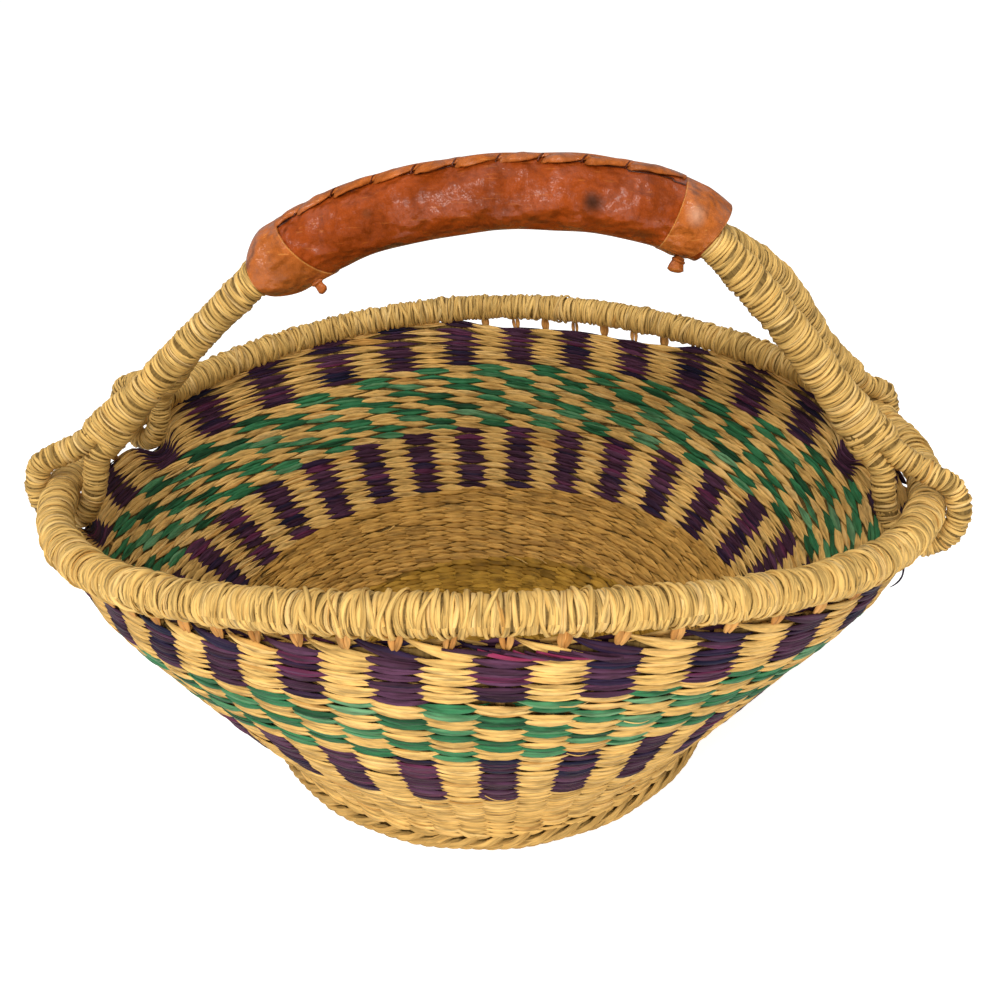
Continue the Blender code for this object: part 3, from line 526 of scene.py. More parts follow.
class Nodes:
    """Short ways to build a material's nodes."""

    def __init__(self, name):
        self.material = bpy.data.materials.new(name)
        self.material.use_nodes = True
        self.tree = self.material.node_tree
        self.shader = self.tree.nodes["Principled BSDF"]

    def node(self, kind, **values):
        made = self.tree.nodes.new(kind)
        for key, value in values.items():
            setattr(made, key, value)
        return made

    def link(self, source, target):
        self.tree.links.new(source, target)

    def feed(self, target, value):
        """Link a socket or set a plain value."""
        if isinstance(value, bpy.types.NodeSocket):
            self.link(value, target)
        elif value is not None:
            target.default_value = value

    def math(self, operation, first, second=None, clamp=False):
        made = self.node("ShaderNodeMath", operation=operation, use_clamp=clamp)
        self.feed(made.inputs[0], first)
        self.feed(made.inputs[1], second)
        return made.outputs[0]

    def mix(self, factor, first, second, blend="MIX"):
        made = self.node("ShaderNodeMix", data_type="RGBA", blend_type=blend)
        self.feed(made.inputs[0], factor)
        self.feed(made.inputs[6], first)
        self.feed(made.inputs[7], second)
        return made.outputs[2]

    def ramp(self, factor, stops):
        made = self.node("ShaderNodeValToRGB")
        points = made.color_ramp.elements
        while len(points) < len(stops):
            points.new(0.5)
        for point, (place_at, colour) in zip(points, stops):
            point.position = place_at
            point.color = colour if len(colour) == 4 else (*colour, 1.0)
        self.link(factor, made.inputs[0])
        return made.outputs[0]

    def attribute(self, name):
        return self.node("ShaderNodeAttribute", attribute_name=name).outputs["Fac"]

    def straw_uv(self, along, across):
        """Coordinates along and across a straw, in waves a metre."""
        scale = self.node("ShaderNodeMapping")
        scale.inputs["Scale"].default_value = (along, across, 1.0)
        self.link(self.node("ShaderNodeUVMap", uv_map="Straw").outputs[0], scale.inputs[0])
        return scale.outputs[0]

    def object_place(self):
        return self.node("ShaderNodeTexCoord").outputs["Object"]

    def noise(self, vector, scale=1.0, detail=2.0, roughness=0.5, dimensions="2D"):
        made = self.node("ShaderNodeTexNoise", noise_dimensions=dimensions)
        self.feed(made.inputs["Vector"], vector)
        made.inputs["Scale"].default_value = scale
        made.inputs["Detail"].default_value = detail
        made.inputs["Roughness"].default_value = roughness
        return made.outputs["Fac"]

    def bump(self, height, distance, strength=1.0, normal=None):
        made = self.node("ShaderNodeBump")
        made.inputs["Strength"].default_value = strength
        made.inputs["Distance"].default_value = distance
        self.link(height, made.inputs["Height"])
        if normal is not None:
            self.link(normal, made.inputs["Normal"])
        return made.outputs[0]


def scaled(colour, factor):
    """A colour made lighter or darker."""
    return tuple(min(part * factor, 1.0) for part in colour[:3])


def straw_finish(name, stops, rough=0.60, shine=0.15, streak=0.50, dark=0.60):
    """Split grass: tone from strand to strand, fibres along it, and painted shade where it dives under the next."""
    make = Nodes(name)
    tone = make.ramp(make.attribute("tone"), stops)
    fibre = make.noise(make.straw_uv(60.0, 1100.0), detail=3.0, roughness=0.6)
    patch = make.noise(make.straw_uv(90.0, 260.0), detail=1.0)
    fibre_light = make.ramp(fibre, ((0.30, (1 - streak,) * 3), (0.52, (0.93,) * 3), (0.75, (1.12,) * 3)))
    patch_light = make.ramp(patch, ((0.3, (0.84, 0.80, 0.74)), (0.6, (1.05, 1.05, 1.05))))
    colour = make.mix(1.0, tone, fibre_light, "MULTIPLY")
    colour = make.mix(1.0, colour, patch_light, "MULTIPLY")
    # Painted shade: the shade attribute darkens the colour, by up to dark, where a strand dives or lies under other
    # straw.
    deep = make.ramp(make.attribute("shade"), ((0.0, (1.0, 1.0, 1.0)), (1.0, (1 - dark, 1 - dark * 1.1, 1 - dark * 1.2))))
    colour = make.mix(1.0, colour, deep, "MULTIPLY")
    make.link(colour, make.shader.inputs["Base Color"])
    make.shader.inputs["Roughness"].default_value = rough
    make.shader.inputs["Specular IOR Level"].default_value = shine
    make.link(make.bump(fibre, 0.00022, 0.7), make.shader.inputs["Normal"])
    return make.material


def leather_finish(name, colour, look, worn=True):
    """Oiled goat leather: fine grain, creases, mottled tan, darker stains and painted shade from the shade attribute.
    """
    make = Nodes(name)
    spot = make.object_place()
    uv = make.straw_uv(1.0, 1.0)
    grain = make.node("ShaderNodeTexVoronoi", feature="DISTANCE_TO_EDGE")
    make.link(spot, grain.inputs["Vector"])
    grain.inputs["Scale"].default_value = 900.0
    grain.inputs["Randomness"].default_value = 1.0
    pores = make.noise(spot, 1400.0, 2.0, dimensions="3D")
    creases = make.noise(make.straw_uv(150.0, 45.0), 1.0, 4.0, 0.55)
    cloud = make.noise(spot, 38.0, 4.0, 0.6, "3D")
    fine = make.noise(spot, 240.0, 3.0, 0.6, "3D")
    tan = make.ramp(cloud, (
        (0.30, scaled(colour, 0.62)), (0.48, scaled(colour, 0.95)), (0.62, scaled(colour, 1.12)),
        (0.78, (colour[0] * 1.30, colour[1] * 1.38, colour[2] * 1.55)),
    ))
    speckle = make.ramp(fine, ((0.30, (0.80, 0.76, 0.72)), (0.55, (1.03, 1.03, 1.03))))
    tan = make.mix(1.0, tan, speckle, "MULTIPLY")
    line = make.ramp(grain.outputs["Distance"], ((0.0, (0.72, 0.68, 0.64)), (0.12, (1.0, 1.0, 1.0))))
    tan = make.mix(0.55, tan, make.mix(1.0, tan, line, "MULTIPLY"))
    for angle in (0.5, -0.7):
        turned = make.node("ShaderNodeMapping")
        turned.inputs["Rotation"].default_value = (0.3, angle, 0.9)
        turned.inputs["Scale"].default_value = (55.0, 700.0, 700.0)
        make.link(spot, turned.inputs[0])
        scratch = make.ramp(make.noise(turned.outputs[0], 1.0, 1.0, 0.5, "3D"), (
            (0.70, (0.0, 0.0, 0.0)), (0.76, (0.30, 0.30, 0.30))))
        tan = make.mix(scratch, tan, (*scaled(colour, 1.9)[:1], colour[1] * 3.2, colour[2] * 5.0, 1.0))
    if worn:
        for centre, size, tint, amount in look:
            far = make.node("ShaderNodeVectorMath", operation="DISTANCE")
            make.link(spot, far.inputs[0])
            far.inputs[1].default_value = centre
            ring = make.math("ADD", far.outputs["Value"], make.math("MULTIPLY", cloud, size * 0.9))
            mask = make.node("ShaderNodeMapRange", interpolation_type="SMOOTHSTEP")
            make.link(ring, mask.inputs["Value"])
            mask.inputs["From Min"].default_value = size * 1.5
            mask.inputs["From Max"].default_value = size * 0.45
            mask.inputs["To Min"].default_value = 0.0
            mask.inputs["To Max"].default_value = amount
            tan = make.mix(mask.outputs[0], tan, (*tint, 1.0))
    # Painted shade: the shade attribute darkens the leather where lips, lace and knots tuck under.
    edge = make.ramp(make.attribute("shade"), ((0.0, (1.0, 1.0, 1.0)), (1.0, (0.42, 0.36, 0.32))))
    tan = make.mix(1.0, tan, edge, "MULTIPLY")
    make.link(tan, make.shader.inputs["Base Color"])
    gloss = make.ramp(make.noise(spot, 60.0, 3.0, 0.6, "3D"), ((0.35, (0.30,) * 3), (0.70, (0.52,) * 3)))
    make.link(gloss, make.shader.inputs["Roughness"])
    make.shader.inputs["Specular IOR Level"].default_value = 0.09
    polish = make.ramp(make.noise(spot, 75.0, 2.0, 0.5, "3D"), ((0.42, (0.03,) * 3), (0.60, (1.0,) * 3)))
    make.link(polish, make.shader.inputs["Coat Weight"])
    make.shader.inputs["Coat Roughness"].default_value = 0.25
    dents = make.noise(spot, 85.0, 2.0, 0.45, "3D")
    first = make.bump(creases, 0.0008, 0.5, make.bump(dents, 0.0085, 1.0))
    second = make.bump(grain.outputs["Distance"], 0.00030, 0.8, first)
    make.link(make.bump(pores, 0.00010, 0.5, second), make.shader.inputs["Normal"])
    make.link(second, make.shader.inputs["Coat Normal"])
    return make.material


class BasketLook(bpy.types.PropertyGroup):
    """Sizes and colours that a user may change."""

    seed: bpy.props.IntProperty(name="Seed", description="Chooses how the straws vary", default=7)
    straw: bpy.props.FloatVectorProperty(
        name="Straw", description="Natural straw of the weave", subtype="COLOR", size=3,
        default=(0.74, 0.455, 0.138), min=0.0, max=1.0)
    wrap_straw: bpy.props.FloatVectorProperty(
        name="Wrapping straw", description="Straw wound round the rim and handle", subtype="COLOR", size=3,
        default=(0.68, 0.430, 0.130), min=0.0, max=1.0)
    purple: bpy.props.FloatVectorProperty(
        name="Purple dye", description="Dyed straw of the striped bands", subtype="COLOR", size=3,
        default=(0.056, 0.021, 0.043), min=0.0, max=1.0)
    green: bpy.props.FloatVectorProperty(
        name="Green dye", description="Dyed straw of the checkered band", subtype="COLOR", size=3,
        default=(0.034, 0.176, 0.071), min=0.0, max=1.0)
    leather: bpy.props.FloatVectorProperty(
        name="Leather", description="Tanned leather of the grip", subtype="COLOR", size=3,
        default=(0.290, 0.050, 0.0055), min=0.0, max=1.0)
    wrap_pitch: bpy.props.FloatProperty(
        name="Turn spacing", description="From one turn of the wrapping straw to the next",
        default=0.00245, min=0.001, unit="LENGTH")
    bulge: bpy.props.FloatProperty(
        name="Stitch bulge", description="How far a stitch stands over its stake",
        default=0.0016, min=0.0, unit="LENGTH")


def look():
    """The scene's basket settings."""
    return bpy.context.scene.basket_look


FINISHES = {}


def finish(name):
    """A finish by its name, made when first asked for."""
    if name not in FINISHES:
        s = look()
        straw, pale = tuple(s.straw), tuple(s.wrap_straw)
        purple, green = tuple(s.purple), tuple(s.green)
        makers = {
            "natural straw": lambda: straw_finish("natural straw", (
                (0.0, scaled(straw, 0.72)), (0.25, scaled(straw, 0.94)), (0.6, scaled(straw, 1.06)),
                (0.9, (straw[0] * 1.05, straw[1] * 1.12, straw[2] * 1.35)),
                (1.0, (straw[0] * 0.80, straw[1] * 0.70, straw[2] * 0.60)))),
            # Darker copy of the natural straw: painted shade for the inside of the plain weave.
            "shaded inside straw": lambda: straw_finish("shaded inside straw", (
                (0.0, (straw[0] * 0.58, straw[1] * 0.50, straw[2] * 0.36)),
                (0.5, (straw[0] * 0.74, straw[1] * 0.66, straw[2] * 0.48)),
                (1.0, (straw[0] * 0.90, straw[1] * 0.82, straw[2] * 0.66))), shine=0.2),
            # Darker copy of the natural straw: painted shade for the woven base, where little light reaches.
            "shaded bottom straw": lambda: straw_finish("shaded bottom straw", (
                (0.0, (straw[0] * 0.36, straw[1] * 0.30, straw[2] * 0.12)),
                (0.5, (straw[0] * 0.52, straw[1] * 0.46, straw[2] * 0.19)),
                (1.0, (straw[0] * 0.68, straw[1] * 0.61, straw[2] * 0.30))), shine=0.12),
            # Darker copy of the natural straw: painted shade for the stakes and the braided foot.
            "shaded base straw": lambda: straw_finish("shaded base straw", (
                (0.0, scaled(straw, 0.62)), (0.5, scaled(straw, 0.80)), (1.0, scaled(straw, 0.92)))),
            "wrapping straw": lambda: straw_finish("wrapping straw", (
                (0.0, scaled(pale, 0.70)), (0.2, scaled(pale, 0.92)), (0.65, scaled(pale, 1.06)),
                (0.92, (pale[0] * 1.08, pale[1] * 1.16, pale[2] * 1.5)),
                (1.0, (pale[0] * 0.82, pale[1] * 0.68, pale[2] * 0.52))), rough=0.55, shine=0.20, streak=0.62),
            # Lighter copy of the wrapping straw: painted light on the left legs, lit from the upper left.
            "lit leg straw": lambda: straw_finish("lit leg straw", (
                (0.0, scaled(pale, 0.72)), (0.2, scaled(pale, 0.97)), (0.65, scaled(pale, 1.13)),
                (0.92, (pale[0] * 1.15, pale[1] * 1.25, pale[2] * 1.75)),
                (1.0, (pale[0] * 0.85, pale[1] * 0.72, pale[2] * 0.58))), rough=0.55, shine=0.20, streak=0.62),
            # Much darker copy of the wrapping straw: painted shade for the bundles under the wrapping and inside the
            # weave.
            "shaded under straw": lambda: straw_finish("shaded under straw", (
                (0.0, scaled(pale, 0.30)), (1.0, scaled(pale, 0.42)))),
            "purple straw": lambda: straw_finish("purple straw", (
                (0.0, (0.013, 0.013, 0.034)), (0.2, (0.030, 0.015, 0.042)), (0.35, scaled(purple, 0.75)),
                (0.65, scaled(purple, 1.25)), (0.88, scaled(purple, 1.9)), (1.0, (0.12, 0.024, 0.066))),
                rough=0.45, shine=0.10, streak=0.55),
            "green straw": lambda: straw_finish("green straw", (
                (0.0, scaled(green, 0.32)), (0.30, scaled(green, 0.70)), (0.6, scaled(green, 1.15)),
                (1.0, (green[0] * 4.2, green[1] * 1.75, green[2] * 2.1))), rough=0.45, shine=0.14),
            "magenta straw": lambda: straw_finish("magenta straw", (
                (0.0, (0.050, 0.009, 0.032)), (0.6, (0.11, 0.013, 0.045)), (1.0, (0.27, 0.03, 0.09))), rough=0.45),
            "stake straw": lambda: straw_finish("stake straw", (
                (0.0, (straw[0] * 0.72, straw[1] * 0.52, straw[2] * 0.42)),
                (1.0, (straw[0] * 0.98, straw[1] * 0.82, straw[2] * 0.80)))),
        }
        FINISHES[name] = makers[name]()
    return FINISHES[name]


# Weave

BANDS = (
    # piece, frame node, height of its bottom and top, courses, straws in a stitch
    ("plain_weave", "wall_plain_straw", 0.0150, 0.0548, 15, 2),
    ("lower_purple_weave", "wall_lower_purple_band", 0.0548, 0.0911, 10, 3),
    ("green_weave", "wall_green_band", 0.0911, 0.1290, 10, 3),
    ("upper_purple_weave", "wall_upper_purple_band", 0.1290, 0.1520, 8, 3),
)
STITCH_PLACES = 9
STITCH_REACH = 1.55         # of half the way to the next stake
STITCH_THICK = 0.00080
STITCH_LEAN = 0.27          # of a course, for each half way to the next stake
STITCH_SAG = 0.17           # of a course, on the outside
OUTSIDE_BULGE = 1.35        # times the bulge inside
INSIDE_TAPER = 1.15         # how soon a stitch narrows inside


def stitches(rng, line, rows, spacing, stakes, side, straws=1, total=STAKES, bulge=None,
             lean=None, reach=None, sag=0.0):
    """Straws over the stakes on one side of the weave: (course, stake, straw) in order.

    rows, spacing, lean and reach are each course's place, height, slope and length;
    lean may differ from stake to stake too, and sag is how far a stitch hangs.
    """
    count = len(rows)
    shape = (count, len(stakes), straws, STITCH_PLACES)
    flat = (shape[0] * shape[1] * shape[2], STITCH_PLACES)

    def each(values):
        values = np.asarray(values, float)
        values = values.reshape(values.shape + (1,) * (2 - values.ndim))
        return np.broadcast_to(values, shape[:2])[:, :, None, None]

    t = np.linspace(-1.0, 1.0, STITCH_PLACES)
    t = np.sign(t) * np.abs(t) ** 0.9
    long = each(STITCH_REACH if reach is None else reach) * rng.uniform(0.84, 1.12, shape[:3] + (1,))
    t = t * long
    part = np.abs(t / long)
    stake = stakes[None, :, None, None]
    wave = sum(
        rng.normal(0.0, 0.06, (count, 1, 1, 1))
        * np.sin(order * math.tau * stake / total + rng.uniform(0, math.tau, (count, 1, 1, 1)))
        for order in (2, 5, 9, 14)
    )
    step = each(spacing)
    slope = each(STITCH_LEAN if lean is None else lean)
    slope = slope * (1 + rng.normal(0.0, 0.18, shape[:2] + (1, 1))) + rng.normal(0.0, 0.05, shape[:3] + (1,))
    spread = (np.arange(straws) - (straws - 1) / 2)[None, None, :, None] / max(straws, 1)
    s = each(rows) + step * (
        wave
        + rng.normal(0.0, 0.05, shape[:2] + (1, 1))
        + rng.normal(0.0, 0.04, shape[:3] + (1,))
        + spread * 0.94 * (1 - 0.97 * part ** 1.05)
        - side * slope * t
        - sag * (0.6 - part ** 2)
    )
    angle = stake_angle((stake + t / 2) * STAKES / total, line.height(s))
    s, squash = raise_border(line, s, angle)
    rise = (look().bulge if bulge is None else bulge) * (1 + rng.normal(0.0, 0.08, shape[:2] + (1, 1)))
    depth = side * (rise * (1 - np.abs(t / 1.60) ** 2.9) + rng.normal(0.0, 0.00016, shape[:3] + (1,)))
    point, up_way, out_way = line.point(s, angle, depth)
    point, up_way, out_way = (item.reshape(*flat, 3) for item in (point, up_way, side * out_way))
    run = unit(np.gradient(point, axis=1))
    out = unit(np.cross(run, np.cross(out_way, run)))
    fade = 1 - (part * 0.97) ** (1.6 if side > 0 else INSIDE_TAPER)
    wide = step * ((0.72 if side > 0 else 0.80) / straws + 0.05 * (straws > 1)) * (0.07 + 0.93 * fade)
    wide = (wide * rng.uniform(0.85, 1.18, shape[:3] + (1,)) * squash).reshape(flat)
    thick = (STITCH_THICK * (0.45 + 0.55 * fade) * rng.uniform(0.85, 1.2, shape[:3] + (1,))).reshape(flat)
    section = straw_section(rng, flat[0], sides=6, groove=0.35, back=0.7)
    # Painted shade at the stitch's tips, where it dives under the next.
    shade = np.clip((part - (0.70 if side > 0 else 0.85)) / 0.45, 0, 1).reshape(flat)
    return settle(sweep(point, np.cross(out, run), out, wide, thick, section)), shade


def band_looks(name, rows, columns):
    """Which stitches of a band are dyed: 1 dyed, 0 natural."""
    row = np.arange(rows)[:, None]
    column = np.arange(columns)[None, :]
    if "purple" in name:
        return np.broadcast_to((column % 2 == 0), (rows, columns)).astype(int)
    if "green" in name:
        from_top = (rows - 1 - row) // 2
        return ((column + from_top) % 2 == 1).astype(int)
    return np.zeros((rows, columns), int)


class BASKET_OT_weave_wall(bpy.types.Operator):
    """Twine the four bands of the wall, outside and inside"""

    bl_idname = "basket.weave_wall"
    bl_label = "Weave wall"

    def execute(self, context):
        rng = np.random.default_rng(look().seed)
        stakes = np.arange(STAKES)
        for name, node, low, high, courses, straws in BANDS:
            dyed = np.repeat(band_looks(name, courses, STAKES).reshape(-1), straws)
            dye = "green straw" if "green" in name else "purple straw"
            slot = {"plain_weave": "natural_straw", "green_weave": "green_straw"}.get(name, "purple_straw")
            for side, line in ((1, OUTSIDE), (-1, INSIDE)):
                start, stop = line.at(low), line.at(high)
                if name == "plain_weave" and side > 0:
                    start = 0.0
                heights = np.ones(courses)
                lean = np.full((courses, STAKES), STITCH_LEAN)
                reach = np.full(courses, STITCH_REACH if side > 0 else STITCH_REACH + 0.08)
                if name == "upper_purple_weave":
                    lean[-1] = 0.12
                if name == "upper_purple_weave" and side > 0:
                    # The last courses are loose and lean more toward the front.
                    front = np.clip(0.6 - 1.4 * np.sin(math.tau * stakes / STAKES), 0.0, 1.0)
                    heights[-2:], reach[-2:] = (1.25, 1.6), (1.55, 1.62)
                    lean[-2:] = 0.12 + np.array(((0.26,), (0.38,))) * front
                heights *= (stop - start) / heights.sum()
                rows = start + np.cumsum(heights) - heights / 2
                shape, shade = stitches(
                    rng, line, rows, heights, stakes, side, straws, lean=lean, reach=reach,
                    bulge=look().bulge * (OUTSIDE_BULGE if side > 0 else 1.0),
                    sag=STITCH_SAG if side > 0 else 0.0)
                stitch = rng.beta(2.2, 2.2, (courses, STAKES, 1)) + rng.normal(0.0, 0.08, (courses, 1, 1))
                mixed = 0.22 if name == "plain_weave" else 0.14
                tone = (stitch + rng.normal(0.0, mixed, (courses, STAKES, straws))).reshape(-1)
                strands = Strands(rng)
                # The inside of the plain weave takes the darker copy of the straw, painted shade.
                natural = "shaded inside straw" if name == "plain_weave" and side < 0 else "natural straw"
                strands.add(shape, dyed, tone=tone, shade=shade)
                strands.build(name + ("_outside" if side > 0 else "_inside"), [finish(natural), finish(dye)],
                              "basket", [node], slot)
        return {"FINISHED"}


class BASKET_OT_set_stakes(bpy.types.Operator):
    """Stand the stakes inside the weave and tie their ends to the rim"""

    bl_idname = "basket.set_stakes"
    bl_label = "Set stakes"

    def execute(self, context):
        rng = np.random.default_rng(look().seed + 1)
        strands = Strands(rng)
        stakes = np.arange(STAKES)
        s = np.linspace(INSIDE.at(WALL_BOTTOM), INSIDE.at(0.1510), 26)[None].repeat(STAKES, 0)
        angle = stake_angle(stakes[:, None].astype(float), INSIDE.height(s))
        s, _ = raise_border(INSIDE, s, angle)
        point, up_way, out_way = INSIDE.point(s, angle, np.zeros_like(s))
        section = straw_section(rng, STAKES, sides=8, groove=0.3, back=1.0)
        # The stakes, inside the weave, are darkened with painted shade.
        strands.add(settle(sweep(point, np.cross(up_way, out_way), out_way, 0.0020, 0.0014, section)), 0,
                    shade=0.35)
        for straw in (-1, 0, 1):
            self.tie(strands, rng, stakes, straw)
        strands.build(
            "stakes", [finish("shaded base straw"), finish("stake straw")], "basket",
            ["stake_ends_front", "stake_ends_back", "stake_ends_left", "stake_ends_right"])
        return {"FINISHED"}

    def tie(self, strands, rng, stakes, straw):
        """One straw of the bundle that ties each stake's end to the rim."""
        places = 9
        at = stake_angle(stakes.astype(float), 0.152) + math.radians(0.6)
        kept = loop_nearness(at, 2.4) < 0.4
        if straw == 0:
            kept &= rng.random(STAKES) < 0.45
        at = at[kept]
        count = len(at)
        reach = np.linspace(0.0, 1.0, places)
        belly = np.sin(math.pi * reach)
        slant = math.radians(0.75) * straw * 0.2 + rng.normal(math.radians(0.35), math.radians(0.25), (count, 1))
        path_angle = at[:, None] + slant * (reach - 0.4) + straw * math.radians(0.42) * (0.55 + 0.45 * belly)
        bottom = np.full((count, places), INSIDE.at(0.1500))
        bottom, _ = raise_border(INSIDE, bottom, path_angle)
        low, _, out_way = INSIDE.point(bottom, path_angle, np.full((count, places), 0.0016))
        top = RIM_HEIGHT - RIM_TUBE + 0.0020
        z = low[..., 2] + (top - low[..., 2]) * reach
        low_radius = np.hypot(low[..., 0], low[..., 1])
        radius = low_radius + (RIM_RADIUS + 0.0006 - low_radius) * reach + 0.0010 * belly - 0.0006 * (straw == 0)
        path = np.stack([radius * np.cos(path_angle), radius * np.sin(path_angle), z], -1)
        run = unit(np.gradient(path, axis=1))
        out = unit(np.cross(run, np.cross(out_way, run)))
        wide = 0.00155 * rng.uniform(0.75, 1.2, (count, 1)) * (0.35 + 0.65 * belly)
        section = straw_section(rng, count, sides=10, groove=0.4, back=0.9)
        # Painted shade at the tie's ends, where it goes under the rim and weave.
        shade = np.broadcast_to((0.5 * (1 - belly))[None], (count, places))
        strands.add(settle(sweep(path, np.cross(out, run), out, wide, 0.00095 * (0.5 + 0.5 * belly), section)), 1,
                    shade=shade)


class BASKET_OT_weave_base(bpy.types.Operator):
    """Twine the base from its centre out to the foot"""

    bl_idname = "basket.weave_base"
    bl_label = "Weave base"

    def execute(self, context):
        rng = np.random.default_rng(look().seed + 2)
        sides = {1: Strands(rng), -1: Strands(rng)}
        spacing = 0.0033
        stop = INSIDE.at(WALL_BOTTOM)
        rows = np.arange(0.0050, stop, spacing)
        for low, high, count in ((0.0, 0.022, 15), (0.022, 0.050, 30), (0.050, 1.0, 60)):
            some = rows[(rows >= low) & (rows < high)]
            for side, strands in sides.items():
                shape, shade = stitches(rng, INSIDE, some, spacing, np.arange(count), side, total=count,
                                        bulge=0.0015)
                if side == 1:
                    shape[..., 2] = np.maximum(shape[..., 2], 0.0012)
                # The base's stitches keep their painted shade at the tips, a little weaker.
                strands.add(shape, 0, shade=shade * 0.8)
        # A small button of straw closes the middle.
        button = np.linspace(-0.0042, 0.0042, 7)
        for angle in np.arange(5) * math.pi / 5:
            for side, strands in sides.items():
                path = np.stack([button * math.cos(angle), button * math.sin(angle),
                                 BASE_MIDDLE - side * 0.0016 * np.cos(button / 0.0042 * 1.4)], -1)[None]
                across = np.broadcast_to((-math.sin(angle), math.cos(angle), 0.0), path.shape)
                out = np.broadcast_to((0.0, 0.0, -float(side)), path.shape)
                shape = sweep(path, across, out, 0.0012, 0.0006, straw_section(rng, 1))
                strands.add(settle(shape), 0)
        heart(sides[1], INSIDE, 0.0008, stop, 1)
        for side, name in ((1, "woven_base_underside"), (-1, "woven_base_inside")):
            sides[side].build(name, [finish("shaded bottom straw"), finish("shaded under straw")], "basket", ["base_disc"])
        return {"FINISHED"}


def heart(strands, line, start, stop, look_at):
    """The thin middle of the weave, which keeps light from coming through; its dark straw is painted shade in the gaps.
    """
    s = np.linspace(start, stop, 30)[:, None] + np.zeros((1, 120))
    angle = math.tau * np.arange(120)[None] / 120 + 0 * s
    s, _ = raise_border(line, s, angle)
    middle, _, out = line.point(s, angle, np.zeros_like(s))
    loop = np.concatenate([middle + out * 0.0003, (middle - out * 0.0003)[::-1]])
    # Painted shade: the heart is darkened further.
    strands.add(settle(loop)[None], look_at, closed=True, tone=0.4, shade=0.5)


class BASKET_OT_line_wall(bpy.types.Operator):
    """Lay the straw that fills the wall between its two sides, dark with painted shade"""

    bl_idname = "basket.line_wall"
    bl_label = "Line wall"

    def execute(self, context):
        strands = Strands(np.random.default_rng(look().seed + 3))
        heart(strands, INSIDE, INSIDE.at(WALL_BOTTOM), INSIDE.at(0.1500), 0)
        heart(strands, OUTSIDE, 0.0, OUTSIDE.at(0.0520), 0)
        strands.build("wall_heart", [finish("shaded under straw")], "basket")
        return {"FINISHED"}


class BASKET_OT_braid_foot(bpy.types.Operator):
    """Turn the stakes' lower ends along the foot's edge and bind them into it"""

    bl_idname = "basket.braid_foot"
    bl_label = "Braid foot"

    def execute(self, context):
        rng = np.random.default_rng(look().seed + 4)
        strands = Strands(rng)
        self.cord(strands, rng)
        self.slants(strands, rng)
        strands.build("braided_foot", [finish("shaded base straw"), finish("shaded under straw")],
                      "basket", ["foot_braid"], "pale_straw")
        return {"FINISHED"}

    def cord(self, strands, rng):
        """The two-straw cord that the basket stands on, and behind it a dark tube, painted shade of the hollow there.
        """
        count = 360
        turn = math.tau * np.arange(count) / count
        level = np.broadcast_to((0.0, 0.0, 1.0), (count, 3))
        side = np.stack([np.cos(turn), np.sin(turn), 0 * turn], -1)
        for straw in range(4):
            swing = turn * STAKES / 2 + straw * math.pi / 2
            radius = 0.1256 + 0.0017 * np.cos(swing) + 0.0002 * np.sin(turn * 17)
            height = 0.0027 + 0.0013 * np.sin(swing)
            path = np.stack([radius * np.cos(turn), radius * np.sin(turn), height], -1)
            section = straw_section(rng, 1, sides=10, groove=0.3, back=1.0)
            swell = 1 + 0.12 * np.sin(swing * 0.5 + straw)
            shape = sweep(path[None], side[None], level[None], (0.0018 * swell)[None], (0.0015 * swell)[None],
                          section)
            shape[..., 2] = np.maximum(shape[..., 2], 0.0001)
            strands.add(settle(shape), 0, closed=True, tone=0.3 + 0.12 * straw)
        # A dark tube behind the cord: painted shade of the hollow under the wall.
        path = np.stack([0.1222 * np.cos(turn), 0.1222 * np.sin(turn), 0 * turn + 0.0060], -1)
        ring = math.tau * np.arange(12) / 12
        shape = sweep(path[None], side[None], level[None], 0.0030, 0.0048,
                      np.stack([np.cos(ring), np.sin(ring)], -1)[None])
        strands.add(settle(shape), 1, closed=True, tone=0.1, shade=0.9)

    def slants(self, strands, rng):
        """Bundles that come out of the weave, cross down over the edge and run along it."""
        places = 15
        travel = np.linspace(0.0, 1.0, places)
        for layer, half in ((0, 0.0017), (1, 0.0012)):
            stake = np.arange(STAKES)[:, None] + 0.22 * layer
            start = math.tau * stake / STAKES + math.radians(3.0)
            angle = start - math.tau / STAKES * (1.75 * travel[None] + 0.12 * np.sin(travel * math.pi)[None])
            angle = angle + rng.normal(0.0, 0.004, (STAKES, 1))
            z = np.interp(travel, (0.0, 0.15, 0.45, 0.65, 1.0), (0.0112, 0.0092, 0.0050, 0.0034, 0.0026))
            z = z[None] + rng.normal(0.0, 0.0002, (STAKES, 1)) - 0.0003 * layer
            lift = np.interp(travel, (0.0, 0.15, 0.45, 0.75, 1.0), (-0.0010, 0.0009, 0.0019, 0.0013, -0.0010))
            radius = 0.1262 + lift[None] + rng.normal(0.0, 0.0002, (STAKES, 1)) - 0.0002 * layer
            path = np.stack([radius * np.cos(angle), radius * np.sin(angle), z], -1)
            out_way = np.stack([np.cos(angle), np.sin(angle), 0.15 + 0 * angle], -1)
            run = unit(np.gradient(path, axis=1))
            out = unit(np.cross(run, np.cross(out_way, run)))
            wide = half * (0.35 + 0.65 * np.sin(math.pi * np.clip(travel * 1.05, 0, 1)) ** 0.7)[None]
            wide = wide * rng.uniform(0.8, 1.2, (STAKES, 1))
            section = straw_section(rng, STAKES, sides=10, groove=0.5, back=0.8)
            shape = sweep(path, np.cross(out, run), out, wide, 0.00095, section)
            shape[..., 2] = np.maximum(shape[..., 2], 0.0003)
            # Painted shade at the bundles' ends, where they go into the weave and under the cord.
            shade = np.broadcast_to((0.7 * np.abs(2 * travel - 1) ** 2)[None], (STAKES, places))
            tone = rng.beta(2, 2, (STAKES, 1, 1)) + rng.normal(0.0, 0.12, (STAKES, 1, 10))
            strands.add(settle(shape), 0, tone=tone, shade=shade)


